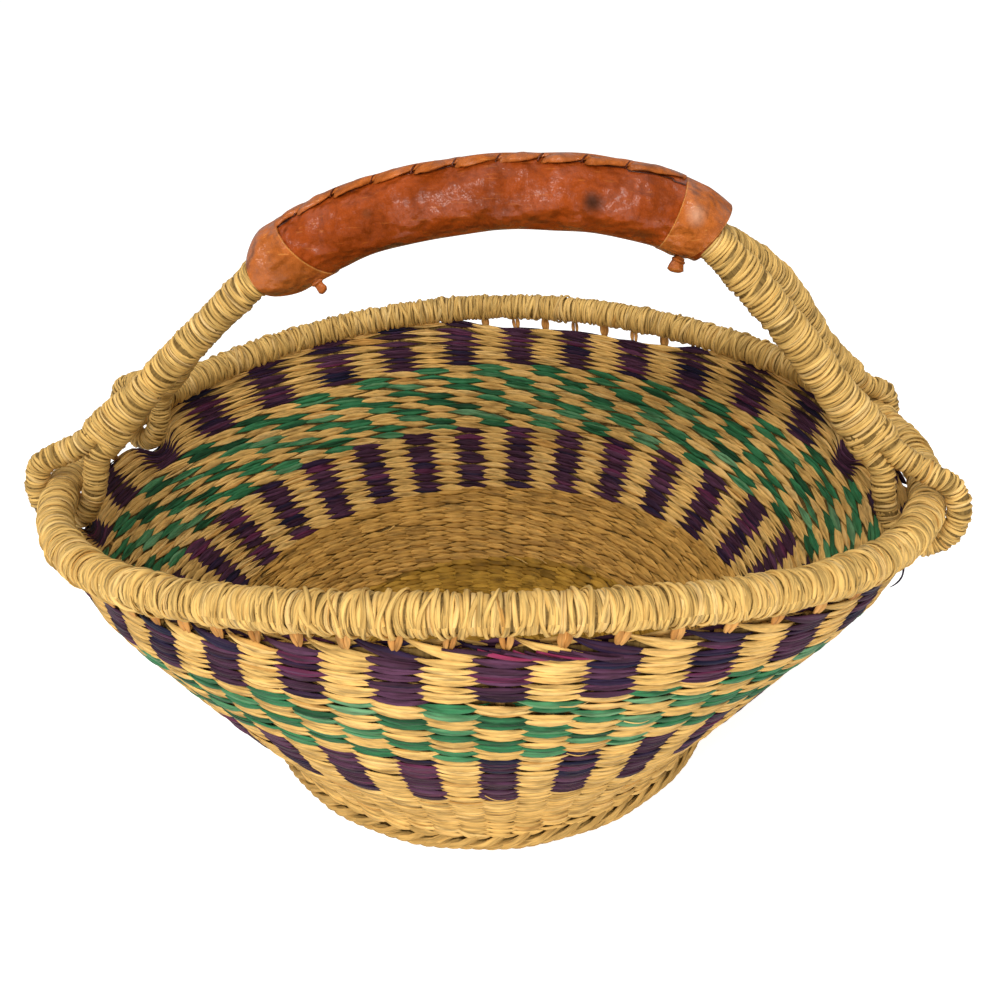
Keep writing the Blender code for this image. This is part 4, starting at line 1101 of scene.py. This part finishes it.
class BASKET_OT_wrap_rim(bpy.types.Operator):
    """Wind straw round the rim"""

    bl_idname = "basket.wrap_rim"
    bl_label = "Wrap rim"

    def execute(self, context):
        rng = np.random.default_rng(look().seed + 5)
        inner, outer = Strands(rng), Strands(rng)
        count = 720
        turn = math.tau * np.arange(count + 1) / count
        path = settle(np.stack([RIM_RADIUS * np.cos(turn), RIM_RADIUS * np.sin(turn), RIM_HEIGHT + 0 * turn], -1))
        run = unit(np.roll(path[:-1], -1, 0) - np.roll(path[:-1], 1, 0))
        run = np.concatenate([run, run[:1]])
        side = np.stack([run[:, 1], -run[:, 0], 0 * turn], -1)
        side = unit(side)
        top = np.cross(side, run)
        top = top * np.sign(top[:, 2:3])
        swell = 1 + 0.018 * np.sin(7 * turn + 1.0) + 0.012 * np.sin(19 * turn) + 0.012 * np.sin(43 * turn)
        half = RIM_TUBE * 0.93 * swell
        pitch = look().wrap_pitch
        wrap(inner, rng, path, side, top, half - 0.0004, half - 0.0004, pitch, closed=True, stations=16,
             half_straw=0.00128, thick=0.00085, messy=0.35, roll=0.2)
        wrap(outer, rng, path, side, top, half, half, pitch * 1.5, closed=True, stations=24,
             half_straw=0.00140, thick=0.00090, messy=0.85, roll=0.60, pinch=0.40, proud=0.0008)
        under_tube(inner, path[:-1:3], side[:-1:3], top[:-1:3],
                   half[:-1:3] - 0.0010, half[:-1:3] - 0.0010, 1, closed=True)
        for strands, name in ((inner, "rim_straw_inner"), (outer, "rim_straw_outer")):
            strands.build(name, [finish("wrapping straw"), finish("shaded under straw")],
                          "basket", ["rim_wrapping"], "pale_straw")
        return {"FINISHED"}


class BASKET_OT_wrap_handle(bpy.types.Operator):
    """Wind straw round the handle's legs and the loops that hold the rim"""

    bl_idname = "basket.wrap_handle"
    bl_label = "Wrap handle"

    split = 0.50                # turn of a loop, off the leg, where its two strands part
    pitch = 0.00198

    def execute(self, context):
        rng = np.random.default_rng(look().seed + 6)
        for name in LOOP_ANGLES:
            self.leg(rng, name)
            self.loop(rng, name)
        for side in ("front", "back"):
            self.core(rng, side)
        return {"FINISHED"}

    def core(self, rng, side):
        """The rod inside one side's two legs and the leather."""
        strands = Strands(rng)
        left, right = self.rod(side + "_left"), self.rod(side + "_right")
        off = np.array((0.0, leg_top(side + "_left")[1], 0.0))
        line = smooth_line([*left[::-9], *(grip_line()[12:-12:12] + off), *right[::9]], 160)
        level = np.broadcast_to((0.0, 1.0, 0.0), line.shape)
        top = unit(np.cross(runs(line), level))
        under_tube(strands, line + MIDDLE, level, top, 0.0055 + 0 * line[:, 0], 0.0055 + 0 * line[:, 0], 0)
        strands.build("handle_rod_" + side, [finish("shaded under straw")], "handle", ["handle_core_" + side], "pale_straw")

    def fork(self, name):
        """Where a leg's two strands part: its middle, the way across and toward the leg."""
        both, centre, outward, toward = loop_line(name, np.array((-self.split, self.split)))
        peak = loop_line(name, np.array((0.0,)))[0][0]
        across = unit(both[1] - both[0])
        return peak + toward * 0.0015, across, toward

    def rod(self, name):
        """A leg's centre line, from inside the leather to where its strands show."""
        grip = grip_line()
        left = name.endswith("left")
        fork, _, toward = self.fork(name)
        top = leg_top(name)
        inward = unit(grip[1] - grip[0] if left else grip[-2] - grip[-1])
        foot = fork + toward * 0.032
        middle = (top + foot) / 2 + np.array((0.0, 0.0, LEG_BOW[name]))
        return smooth_line([top + inward * 0.012, top, middle, foot, fork + toward * 0.010], 100)

    def leg(self, rng, name):
        """The winding of a leg, widening over its two strands."""
        left = name.endswith("left")
        strands = Strands(rng)
        across = self.fork(name)[1]
        line = self.rod(name)
        run = runs(line)
        part = np.linspace(0.0, 1.0, 100)
        share = np.clip((part - 0.70) / 0.30, 0.0, 1.0)
        share = share * share * (3 - 2 * share)
        plane = unit(across[None] - run * (run @ across)[:, None])
        flat = unit(np.cross(run, plane))
        rod = LEG_ROD[name] * (
            1 + 0.022 * np.sin(part * 19 + rng.uniform(0, 6)) + 0.018 * np.sin(part * 47 + rng.uniform(0, 6)))
        half_plane = rod + (FORK_HALF - rod) * share
        half_flat = rod + (STRAND[name] * 1.12 - rod) * share
        lump = 1 + 0.06 * np.exp(-((part - (0.64 if left else 0.78)) / 0.03) ** 2)
        wrap(strands, rng, line + MIDDLE, plane, flat, half_plane * lump, half_flat * lump, self.pitch,
             half_straw=0.00106, thick=0.00102, messy=0.50, roll=0.34, pinch=0.20, proud=0.0004,
             stations=20, slant=0.0012 if left else -0.0030)
        under_tube(strands, line + MIDDLE, plane, flat, half_plane - 0.0002, half_flat - 0.0002, 1)
        # The left legs take the lighter copy of the wrapping straw, painted light.
        strands.build("leg_straw_" + name, [finish("lit leg straw" if left else "wrapping straw"), finish("shaded under straw")],
                      "handle", ["leg_wrapping_" + name], "pale_straw")

    def loop(self, rng, name):
        """The strand that leaves the leg, goes round the rim and comes back into the leg."""
        strands = Strands(rng)
        fork, across, toward = self.fork(name)
        turns = np.linspace(self.split + 0.42, math.tau - self.split - 0.42, 40)
        line, centre, outward, _ = loop_line(name, turns)
        start, stop = (
            [fork + toward * high + across * side * wide for high, wide in
             ((0.024, 0.0036), (0.012, 0.0047), (0.000, 0.0051))]
            for side in (1, -1)
        )
        loop = smooth_line([*start, *line[::3], *stop[::-1]], 140)
        run = runs(loop)
        level = unit(np.cross(np.array((0.0, 0.0, 1.0)), outward))
        flat = unit(level[None] - run * (run @ level)[:, None])
        side = np.cross(flat, run)
        half = (STRAND[name] - 0.0004) * (1 + 0.03 * np.sin(np.linspace(0, 17, 140)))
        wrap(strands, rng, loop + MIDDLE, side, flat, half, half, self.pitch, half_straw=0.00106, thick=0.00102,
             stations=16, messy=0.55, roll=0.38, pinch=0.22, proud=0.0005)
        under_tube(strands, loop + MIDDLE, side, flat, half - 0.0002, half - 0.0002, 1)
        strands.build("loop_straw_" + name, [finish("wrapping straw"), finish("shaded under straw")],
                      "handle", ["rim_loop_" + name], "pale_straw")


# Leather grip

def cover(strands, line, half_high, half_wide, thickness, sides=64, bumps=None, slant=0.0, cut_look=0):
    """A leather tube along a line, with its thickness, lumpy where bumps says and cut
    off at a slant, with cut_look on the edges of the cut."""
    run = runs(line)
    side = np.broadcast_to((0.0, 1.0, 0.0), line.shape)
    top = unit(np.cross(run, side))
    top = top * np.sign(top[:, 2:3])
    turn = math.tau * np.arange(sides) / sides
    shell = 1.0 if bumps is None else 1.0 + bumps(np.linspace(0, 1, len(line))[:, None], turn[None])

    def ring(inset):
        wide = (np.broadcast_to(half_wide, (len(line),)) - inset)[:, None] * np.cos(turn)[None] * shell
        high = (np.broadcast_to(half_high, (len(line),)) - inset)[:, None] * np.sin(turn)[None] * shell
        cut = np.broadcast_to(slant, (len(line),))[:, None] * np.sin(turn)[None]
        return (line[:, None] + side[:, None] * wide[..., None] + top[:, None] * high[..., None]
                + run[:, None] * cut[..., None])

    outer, inner = ring(0.0), ring(thickness)
    soft = ring(thickness * 0.35)
    step = unit(line[1] - line[0]) * thickness * 0.35
    rows = np.concatenate([
        (outer[:1] + soft[:1]) / 2 - step * 0.6, outer, (outer[-1:] + soft[-1:]) / 2 + step * 0.6,
        inner[::-1]])
    strands.add(rows[None] + MIDDLE, closed=True, tone=0.5)
    if cut_look:
        for end in (0, -1):
            edge = soft[end]
            axis = np.broadcast_to(run[end], edge.shape)
            strands.add(
                sweep(edge[None] + MIDDLE, axis[None], unit(edge - line[end])[None], 0.00035, 0.00062,
                      straw_section(strands.rng, 1, sides=8, groove=0.1, back=1.0)),
                cut_look, closed=True, tone=0.5)


STAINS = (
    ((0.0140, -0.020, 0.306), 0.0016, (0.05, 0.012, 0.006), 0.9),
    ((0.0190, -0.020, 0.3062), 0.0019, (0.05, 0.012, 0.006), 0.9),
    ((0.0570, -0.021, 0.2930), 0.0072, (0.040, 0.017, 0.010), 0.88),
    ((-0.046, -0.019, 0.290), 0.0035, (0.16, 0.045, 0.014), 0.6),
    ((0.1030, -0.019, 0.286), 0.0070, (0.62, 0.42, 0.30), 0.45),
)


class BASKET_OT_sew_grip(bpy.types.Operator):
    """Sew the leather grip with its collars, seam and knots"""

    bl_idname = "basket.sew_grip"
    bl_label = "Sew grip"

    def execute(self, context):
        rng = np.random.default_rng(look().seed + 7)
        tan = tuple(look().leather)
        leather = leather_finish("grip leather", tan, STAINS)
        band = leather_finish("collar leather", (tan[0] * 1.45, tan[1] * 2.2, tan[2] * 3.2), STAINS)
        cut = leather_finish("cut leather", (tan[0] * 1.9, tan[1] * 4.4, tan[2] * 9.0), (), worn=False)
        dark = leather_finish("lace leather", scaled(tan, 0.45), (), worn=False)
        grip = grip_line()
        length = line_length(grip)

        # Sleeve, lumpy over the packing, thinner near its ends.
        waves = [(rng.uniform(8, 40), rng.integers(1, 5), rng.uniform(0, 6.3), rng.uniform(0, 6.3), rng.uniform(0.003, 0.008)) for _ in range(16)]

        def lumps(along, turn):
            total = 0.0
            for pitch, order, first, second, size in waves:
                total = total + size * np.sin(pitch * along + first) * np.cos(order * turn + second)
            return total * np.clip(np.minimum(along, 0.97 - along) / 0.12, 0.0, 1.0)

        strands = Strands(rng)
        line = even_points(grip, 150, start=0.0190, stop=length - 0.0042)
        part = np.linspace(0, 1, 150)
        fat = 1.0 + 0.010 * np.sin(math.pi * part) - 0.14 * np.clip((part - 0.93) / 0.07, 0, 1)
        fat = fat - 0.05 * np.clip((0.06 - part) / 0.06, 0, 1)
        cover(strands, line, GRIP_HIGH * fat, GRIP_WIDE * fat, 0.0016, bumps=lumps)
        strands.build("leather_sleeve", [leather], "handle", ["grip_leather_sleeve"], "tan_leather")

        # Left collar, drawn in over the rods.
        strands = Strands(rng)
        line = even_points(grip, 60, start=0.0038, stop=0.0308)
        part = np.linspace(0, 1, 60)
        draw = np.sin(np.clip(part / 0.50, 0, 1) * math.pi / 2) ** 0.8
        high = 0.0118 + (GRIP_HIGH + 0.0009 - 0.0118) * draw
        wide = 0.0205 + (GRIP_WIDE + 0.0009 - 0.0205) * draw
        cover(strands, line, high, wide, 0.0015, slant=-0.0062 * part ** 2, cut_look=1,
              bumps=lambda along, turn: 0.010 * np.sin(9 * along + 2 * turn) * (1 - along) + 0.006 * np.cos(3 * turn + 5 * along))
        strands.build("left_collar", [band, cut], "handle", ["grip_left_collar"], "tan_leather")

        # Right collar, a plain band with a turned edge.
        strands = Strands(rng)
        line = even_points(grip, 50, start=length - 0.0250, stop=length - 0.0062)
        part = np.linspace(0, 1, 50)
        flare = 0.0005 - 0.0016 * np.clip((part - 0.5) / 0.5, 0, 1)
        cover(strands, line, GRIP_HIGH + flare, GRIP_WIDE + flare, 0.0015, slant=0.0030 * part, cut_look=1,
              bumps=lambda along, turn: 0.008 * np.cos(2 * turn + 4 * along))
        strands.build("right_collar", [band, cut], "handle", ["grip_right_collar"], "tan_leather")

        self.sew_seam(rng, grip, length, band, dark)
        self.tie_knots(rng, grip, length, band, dark)
        return {"FINISHED"}

    def surface(self, grip, along, across, lift):
        """Points on the sleeve: along its line, across from the top to the front, and proud."""
        line = even_points(grip, 400)
        reach = np.linspace(0.0, line_length(grip), 400)
        run = runs(line)
        top = np.cross(run, np.array((0.0, 1.0, 0.0)))
        top = unit(top * np.sign(top[:, 2:3]))
        centre = np.stack([np.interp(along, reach, line[:, n]) for n in range(3)], -1)
        up_way = unit(np.stack([np.interp(along, reach, top[:, n]) for n in range(3)], -1))
        front = np.array((0.0, -1.0, 0.0))
        cos, sin = np.cos(across)[..., None], np.sin(across)[..., None]
        out = unit(up_way * cos / GRIP_HIGH + front * sin / GRIP_WIDE)
        place_at = centre + up_way * cos * GRIP_HIGH + front * sin * GRIP_WIDE
        return place_at + out * np.asarray(lift)[..., None] + MIDDLE, out

    def sew_seam(self, rng, grip, length, band, dark):
        """The rolled edge along the top, folded into lips that lap over each other."""
        lips = 10
        start, stop = 0.0240, length - 0.0258
        strands = Strands(rng)
        count = 40
        for lip in range(lips):
            t = np.linspace(0.0, 1.0, count)
            begin = start + (stop - start) * (lip - 0.30 * (lip > 0)) / lips
            end = min(start + (stop - start) * (lip + 1.10) / lips, stop)
            along = begin + (end - begin) * t
            body = np.interp(t, (0, 0.05, 0.16, 0.45, 0.80, 1.0), (0.10, 0.62, 0.90, 1.0, 0.72, 0.20))
            body = body * (1 + 0.15 * np.sin(rng.uniform(7, 13) * t + rng.uniform(0, 6)))
            across = np.interp(t, (0, 0.12, 0.5, 1.0), (0.44, 0.40, 0.30, 0.10)) + rng.uniform(-0.03, 0.03)
            lift = np.interp(t, (0, 0.1, 0.4, 1.0), (0.0002, 0.0013, 0.0015, 0.0004))
            path, out = self.surface(grip, along, across, lift)
            run = unit(np.gradient(path, axis=0))
            side = np.cross(out, run)
            section = straw_section(rng, 1, sides=16, groove=0.03, back=0.9)
            # Painted shade where a lip thins at its ends and tucks under the next.
            strands.add(sweep(path[None], side[None], out[None], (0.0031 * body)[None], (0.0015 * body)[None],
                              section), 0, tone=0.6, shade=(0.45 * (1 - body))[None])
        # The turned edge keeps on behind the lips, over the top.
        t = np.linspace(0.0, 1.0, 120)
        path, out = self.surface(grip, start + (stop - start) * t, 0.05 + 0.05 * np.sin(t * 31), 0.0002 + 0 * t)
        run = unit(np.gradient(path, axis=0))
        # A little painted shade on the turned edge behind the lips.
        strands.add(sweep(path[None], np.cross(out, run)[None], out[None], 0.0026, 0.0010,
                          straw_section(rng, 1, sides=12, groove=0.05, back=0.9)), 0, tone=0.5, shade=0.1)
        strands.build("seam_roll", [band], "handle", ["grip_seam_roll"], "tan_leather")

        # The lace shows only in the notches between the lips, with painted shade there; the dark line below, in the
        # lace's leather, is painted shadow under the lips' lower edges.
        strands = Strands(rng)
        for lip in range(1, lips):
            at = start + (stop - start) * (lip - 0.28) / lips
            t = np.linspace(-1.0, 1.0, 11)
            path, out = self.surface(grip, at + 0.0016 * t, 0.26 - 0.17 * t, 0.0006 + 0.0013 * (1 - t ** 2))
            run = unit(np.gradient(path, axis=0))
            strands.add(sweep(path[None], np.cross(out, run)[None], out[None], 0.0005, 0.0004,
                              straw_section(rng, 1, sides=8, groove=0.1, back=0.9)), 0, tone=0.4, shade=0.5)
        t = np.linspace(0.0, 1.0, 200)
        wave = (t * lips + 0.28) % 1.0
        across = 0.36 + 0.10 * (1 - wave) + 0.015 * np.sin(t * 23.0)
        path, out = self.surface(grip, start + (stop - start) * t, across, 0.00012 + 0 * t)
        run = unit(np.gradient(path, axis=0))
        # The dark line, darkened further: painted shadow under the lips.
        strands.add(sweep(path[None], np.cross(out, run)[None], out[None], 0.00055, 0.00025,
                          straw_section(rng, 1, sides=8, groove=0.1, back=0.9)), 0, tone=0.1, shade=0.9)
        strands.build("seam_lace", [dark], "handle", ["grip_seam_lace"], "dark_leather")

    def tie_knots(self, rng, grip, length, band, dark):
        """The lace's cut ends under the collars."""
        for name, at, node, drift, tall, halves in (
            ("left_knot", 0.0285, "grip_left_knot", 0.0016, 0.0064, (0.0034, 0.0026, 0.0022, 0.0027, 0.0019)),
            ("right_knot", length - 0.0128, "grip_right_knot", 0.0010, 0.0074, (0.0026, 0.0028, 0.0034, 0.0040, 0.0024)),
        ):
            strands = Strands(rng)
            root, out = self.surface(grip, np.array(at), np.array(math.pi - 0.55), np.array(0.0))
            t = np.linspace(0.0, 1.0, 14)
            path = root + out * (tall * t)[:, None] + np.array((drift, 0.0, 0.0)) * (t ** 2)[:, None]
            run = unit(np.gradient(path, axis=0))
            side = unit(np.cross(run, np.array((0.0, 1.0, 0.2))))
            other = np.cross(run, side)
            half = np.interp(t, (0, 0.25, 0.5, 0.85, 1.0), halves)
            section = straw_section(rng, 1, sides=14, groove=0.22, back=1.0)
            # Painted shade at the knot's root, where it comes out of the leather.
            strands.add(sweep(path[None], side[None], other[None], half[None], half[None] * 0.8, section), 0,
                        tone=0.5, shade=np.interp(t, (0, 0.2, 0.6), (0.7, 0.3, 0.1))[None])
            turn = math.tau * np.arange(24) / 24
            loop = path[3] + (side[3] * np.cos(turn)[:, None] + other[3] * np.sin(turn)[:, None]) * half[3]
            loop = loop + run[3] * (0.0006 * np.sin(turn))[:, None]
            outward = unit(loop - path[3])
            along = unit(np.roll(loop, -1, 0) - np.roll(loop, 1, 0))
            strands.add(sweep(loop[None], np.cross(along, outward)[None], outward[None], 0.0008, 0.0006,
                              straw_section(rng, 1, sides=8, groove=0.1, back=1.0)), 0, closed=True, tone=0.4,
                        shade=0.2)
            strands.build(name, [band], "handle", [node], "dark_leather")


class BASKET_OT_finish_cores(bpy.types.Operator):
    """Give the bundles inside the rim and handle their dark straw, painted shade"""

    bl_idname = "basket.finish_cores"
    bl_label = "Finish cores"

    def execute(self, context):
        for name in ("rim_core", "grip_packing"):
            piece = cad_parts[name]
            piece.data.materials.clear()
            piece.data.materials.append(finish("shaded under straw"))
        return {"FINISHED"}


class BASKET_OT_loose_straws(bpy.types.Operator):
    """Leave the frayed ends that a handmade basket has"""

    bl_idname = "basket.loose_straws"
    bl_label = "Loose straws"

    def execute(self, context):
        rng = np.random.default_rng(look().seed + 8)
        strands = Strands(rng)
        t = np.linspace(0.0, 1.0, 12)

        def straw(s, angle, length, slope, lift, look_at, half=0.0006, side=1, droop=0.0):
            line = OUTSIDE if side > 0 else INSIDE
            along = length / np.interp(s, line.s, line.r) * math.cos(slope) * t
            path, up_way, out_way = line.point(
                s + length * math.sin(slope) * t - droop * t ** 2, angle + along,
                side * (0.0028 + lift * np.sin(math.pi * t * 0.8)))
            path = settle(path)
            run = unit(np.gradient(path, axis=0))
            out = unit(np.cross(run, np.cross(side * out_way, run)))
            section = straw_section(rng, 1, sides=6, groove=0.2, back=0.8)
            taper = half * (1 - 0.75 * t ** 3)
            strands.add(sweep(path[None], np.cross(out, run)[None], out[None], taper[None], taper[None] * 0.5, section),
                        look_at)

        top = OUTSIDE.at(0.1522)
        for number in range(12):
            straw(top - 0.00022 * number, math.radians(271.5 + 1.3 * number), rng.uniform(0.016, 0.026),
                  rng.uniform(-0.20, -0.04), rng.uniform(0.0004, 0.0022), 1 if number in (3, 6, 8) else 2,
                  half=rng.uniform(0.0008, 0.0014))
        for number in range(26):
            straw(OUTSIDE.at(rng.uniform(0.060, 0.148)), rng.uniform(0, math.tau), rng.uniform(0.006, 0.014),
                  rng.uniform(-0.5, 0.5), rng.uniform(0.0004, 0.0018), 0, half=0.00045,
                  side=1 if number % 3 else -1)
        # A dark end hangs from the border at the right.
        straw(OUTSIDE.at(0.1500), math.radians(338.0), 0.017, -1.40, 0.0030, 2, half=0.0011)
        strands.build("loose_straws", [finish("natural straw"), finish("magenta straw"), finish("purple straw")],
                      "basket", (), "natural_straw")
        return {"FINISHED"}


# Stage

CAMERA_PLACE = (0.0552, -0.5021, 0.4125)
CAMERA_RIGHT = (0.9965, 0.0717, -0.0430)
CAMERA_UP = (0.0022, 0.4919, 0.8707)
CAMERA_AHEAD = (-0.0836, 0.8677, -0.4900)
FOCAL_SHARE = 1.0692        # focal length over the picture's width


def area_light(name, place_at, target, size, power, colour=(1.0, 1.0, 1.0), glints=False):
    """A soft lamp, of a width and a height, that looks at a target."""
    lamp = bpy.data.lights.new(name, "AREA")
    lamp.shape = "RECTANGLE"
    lamp.size, lamp.size_y = size
    lamp.energy = power
    lamp.color = colour
    stand = bpy.data.objects.new(name, lamp)
    bpy.context.scene.collection.objects.link(stand)
    stand.visible_glossy = glints
    stand.location = place_at
    stand.rotation_euler = (Vector(target) - Vector(place_at)).to_track_quat("-Z", "Y").to_euler()
    return stand


class BASKET_OT_set_stage(bpy.types.Operator):
    """Lay the pale floor, hang the lamps and set the camera"""

    bl_idname = "basket.set_stage"
    bl_label = "Set stage"

    def execute(self, context):
        scene = context.scene
        scene.view_settings.view_transform = "Standard"

        camera = bpy.data.cameras.new("camera")
        camera.sensor_width = 36.0
        camera.lens = camera.sensor_width * FOCAL_SHARE
        camera.clip_start = 0.01
        camera.clip_end = 50.0
        stand = bpy.data.objects.new("camera", camera)
        scene.collection.objects.link(stand)
        ahead = Vector(CAMERA_AHEAD).normalized()
        right = Vector(CAMERA_RIGHT)
        right = (right - ahead * right.dot(ahead)).normalized()
        up = right.cross(ahead)
        turn = Matrix((right, up, -ahead)).transposed()
        stand.matrix_world = Matrix.Translation(CAMERA_PLACE) @ turn.to_4x4()
        scene.camera = stand

        world = bpy.data.worlds.new("studio")
        world.use_nodes = True
        tree = world.node_tree
        soft = tree.nodes["Background"]
        soft.inputs["Color"].default_value = (1.0, 1.0, 1.0, 1.0)
        soft.inputs["Strength"].default_value = 0.42
        white = tree.nodes.new("ShaderNodeBackground")
        white.inputs["Color"].default_value = (1.0, 1.0, 1.0, 1.0)
        white.inputs["Strength"].default_value = 1.0
        path = tree.nodes.new("ShaderNodeLightPath")
        either = tree.nodes.new("ShaderNodeMath")
        either.operation = "MAXIMUM"
        tree.links.new(path.outputs["Is Camera Ray"], either.inputs[0])
        tree.links.new(path.outputs["Is Transmission Ray"], either.inputs[1])
        mix = tree.nodes.new("ShaderNodeMixShader")
        tree.links.new(either.outputs[0], mix.inputs[0])
        tree.links.new(soft.outputs[0], mix.inputs[1])
        tree.links.new(white.outputs[0], mix.inputs[2])
        tree.links.new(mix.outputs[0], tree.nodes["World Output"].inputs[0])
        scene.world = world

        area_light("key", (-0.30, -1.05, 1.45), (0.0, -0.05, 0.15), (1.3, 0.32), 15.0, (1.0, 0.985, 0.96), True)
        area_light("front", (0.15, -1.45, 0.45), (0.0, 0.0, 0.10), (0.9, 0.9), 13.0, (1.0, 0.99, 0.97))
        area_light("top", (0.2, 0.25, 1.7), (0.0, 0.0, 0.1), (0.9, 0.9), 6.2)

        mesh = bpy.data.meshes.new("floor")
        reach = 12.0
        mesh.from_pydata([(-reach, -reach, 0.0), (reach, -reach, 0.0), (reach, reach, 0.0), (-reach, reach, 0.0)],
                         [], [(0, 1, 2, 3)])
        floor = bpy.data.objects.new("floor", mesh)
        scene.collection.objects.link(floor)
        floor.location.z = -0.0004
        material = bpy.data.materials.new("pale floor")
        material.use_nodes = True
        tree = material.node_tree
        shader = tree.nodes["Principled BSDF"]
        shader.inputs["Base Color"].default_value = (0.80, 0.80, 0.80, 1.0)
        shader.inputs["Roughness"].default_value = 0.9
        shader.inputs["Specular IOR Level"].default_value = 0.0
        glow = tree.nodes.new("ShaderNodeEmission")
        glow.inputs["Color"].default_value = (1.0, 1.0, 1.0, 1.0)
        path = tree.nodes.new("ShaderNodeLightPath")
        strength = tree.nodes.new("ShaderNodeMath")
        strength.operation = "MULTIPLY"
        tree.links.new(path.outputs["Is Camera Ray"], strength.inputs[0])
        strength.inputs[1].default_value = 0.70
        tree.links.new(strength.outputs[0], glow.inputs["Strength"])
        both = tree.nodes.new("ShaderNodeAddShader")
        tree.links.new(shader.outputs[0], both.inputs[0])
        tree.links.new(glow.outputs[0], both.inputs[1])
        tree.links.new(both.outputs[0], tree.nodes["Material Output"].inputs[0])
        mesh.materials.append(material)
        return {"FINISHED"}


OPERATORS = (
    BASKET_OT_set_stage,
    BASKET_OT_weave_wall,
    BASKET_OT_set_stakes,
    BASKET_OT_line_wall,
    BASKET_OT_weave_base,
    BASKET_OT_braid_foot,
    BASKET_OT_wrap_rim,
    BASKET_OT_wrap_handle,
    BASKET_OT_sew_grip,
    BASKET_OT_finish_cores,
    BASKET_OT_loose_straws,
)


class BASKET_PT_panel(bpy.types.Panel):
    """The basket's settings and steps"""

    bl_idname = "BASKET_PT_panel"
    bl_label = "Market basket"
    bl_space_type = "VIEW_3D"
    bl_region_type = "UI"
    bl_category = "Basket"

    def draw(self, context):
        settings = context.scene.basket_look
        for name in ("seed", "straw", "wrap_straw", "purple", "green", "leather", "wrap_pitch", "bulge"):
            self.layout.prop(settings, name)
        for operator in OPERATORS:
            self.layout.operator(operator.bl_idname)


CLASSES = (BasketLook, *OPERATORS, BASKET_PT_panel)


def register():
    for item in CLASSES:
        bpy.utils.register_class(item)
    bpy.types.Scene.basket_look = bpy.props.PointerProperty(type=BasketLook)


def unregister():
    del bpy.types.Scene.basket_look
    for item in reversed(CLASSES):
        bpy.utils.unregister_class(item)


def main():
    """Make the whole basket."""
    register()
    for operator in OPERATORS:
        group, name = operator.bl_idname.split(".")
        getattr(getattr(bpy.ops, group), name)()


if __name__ == "__main__":
    main()
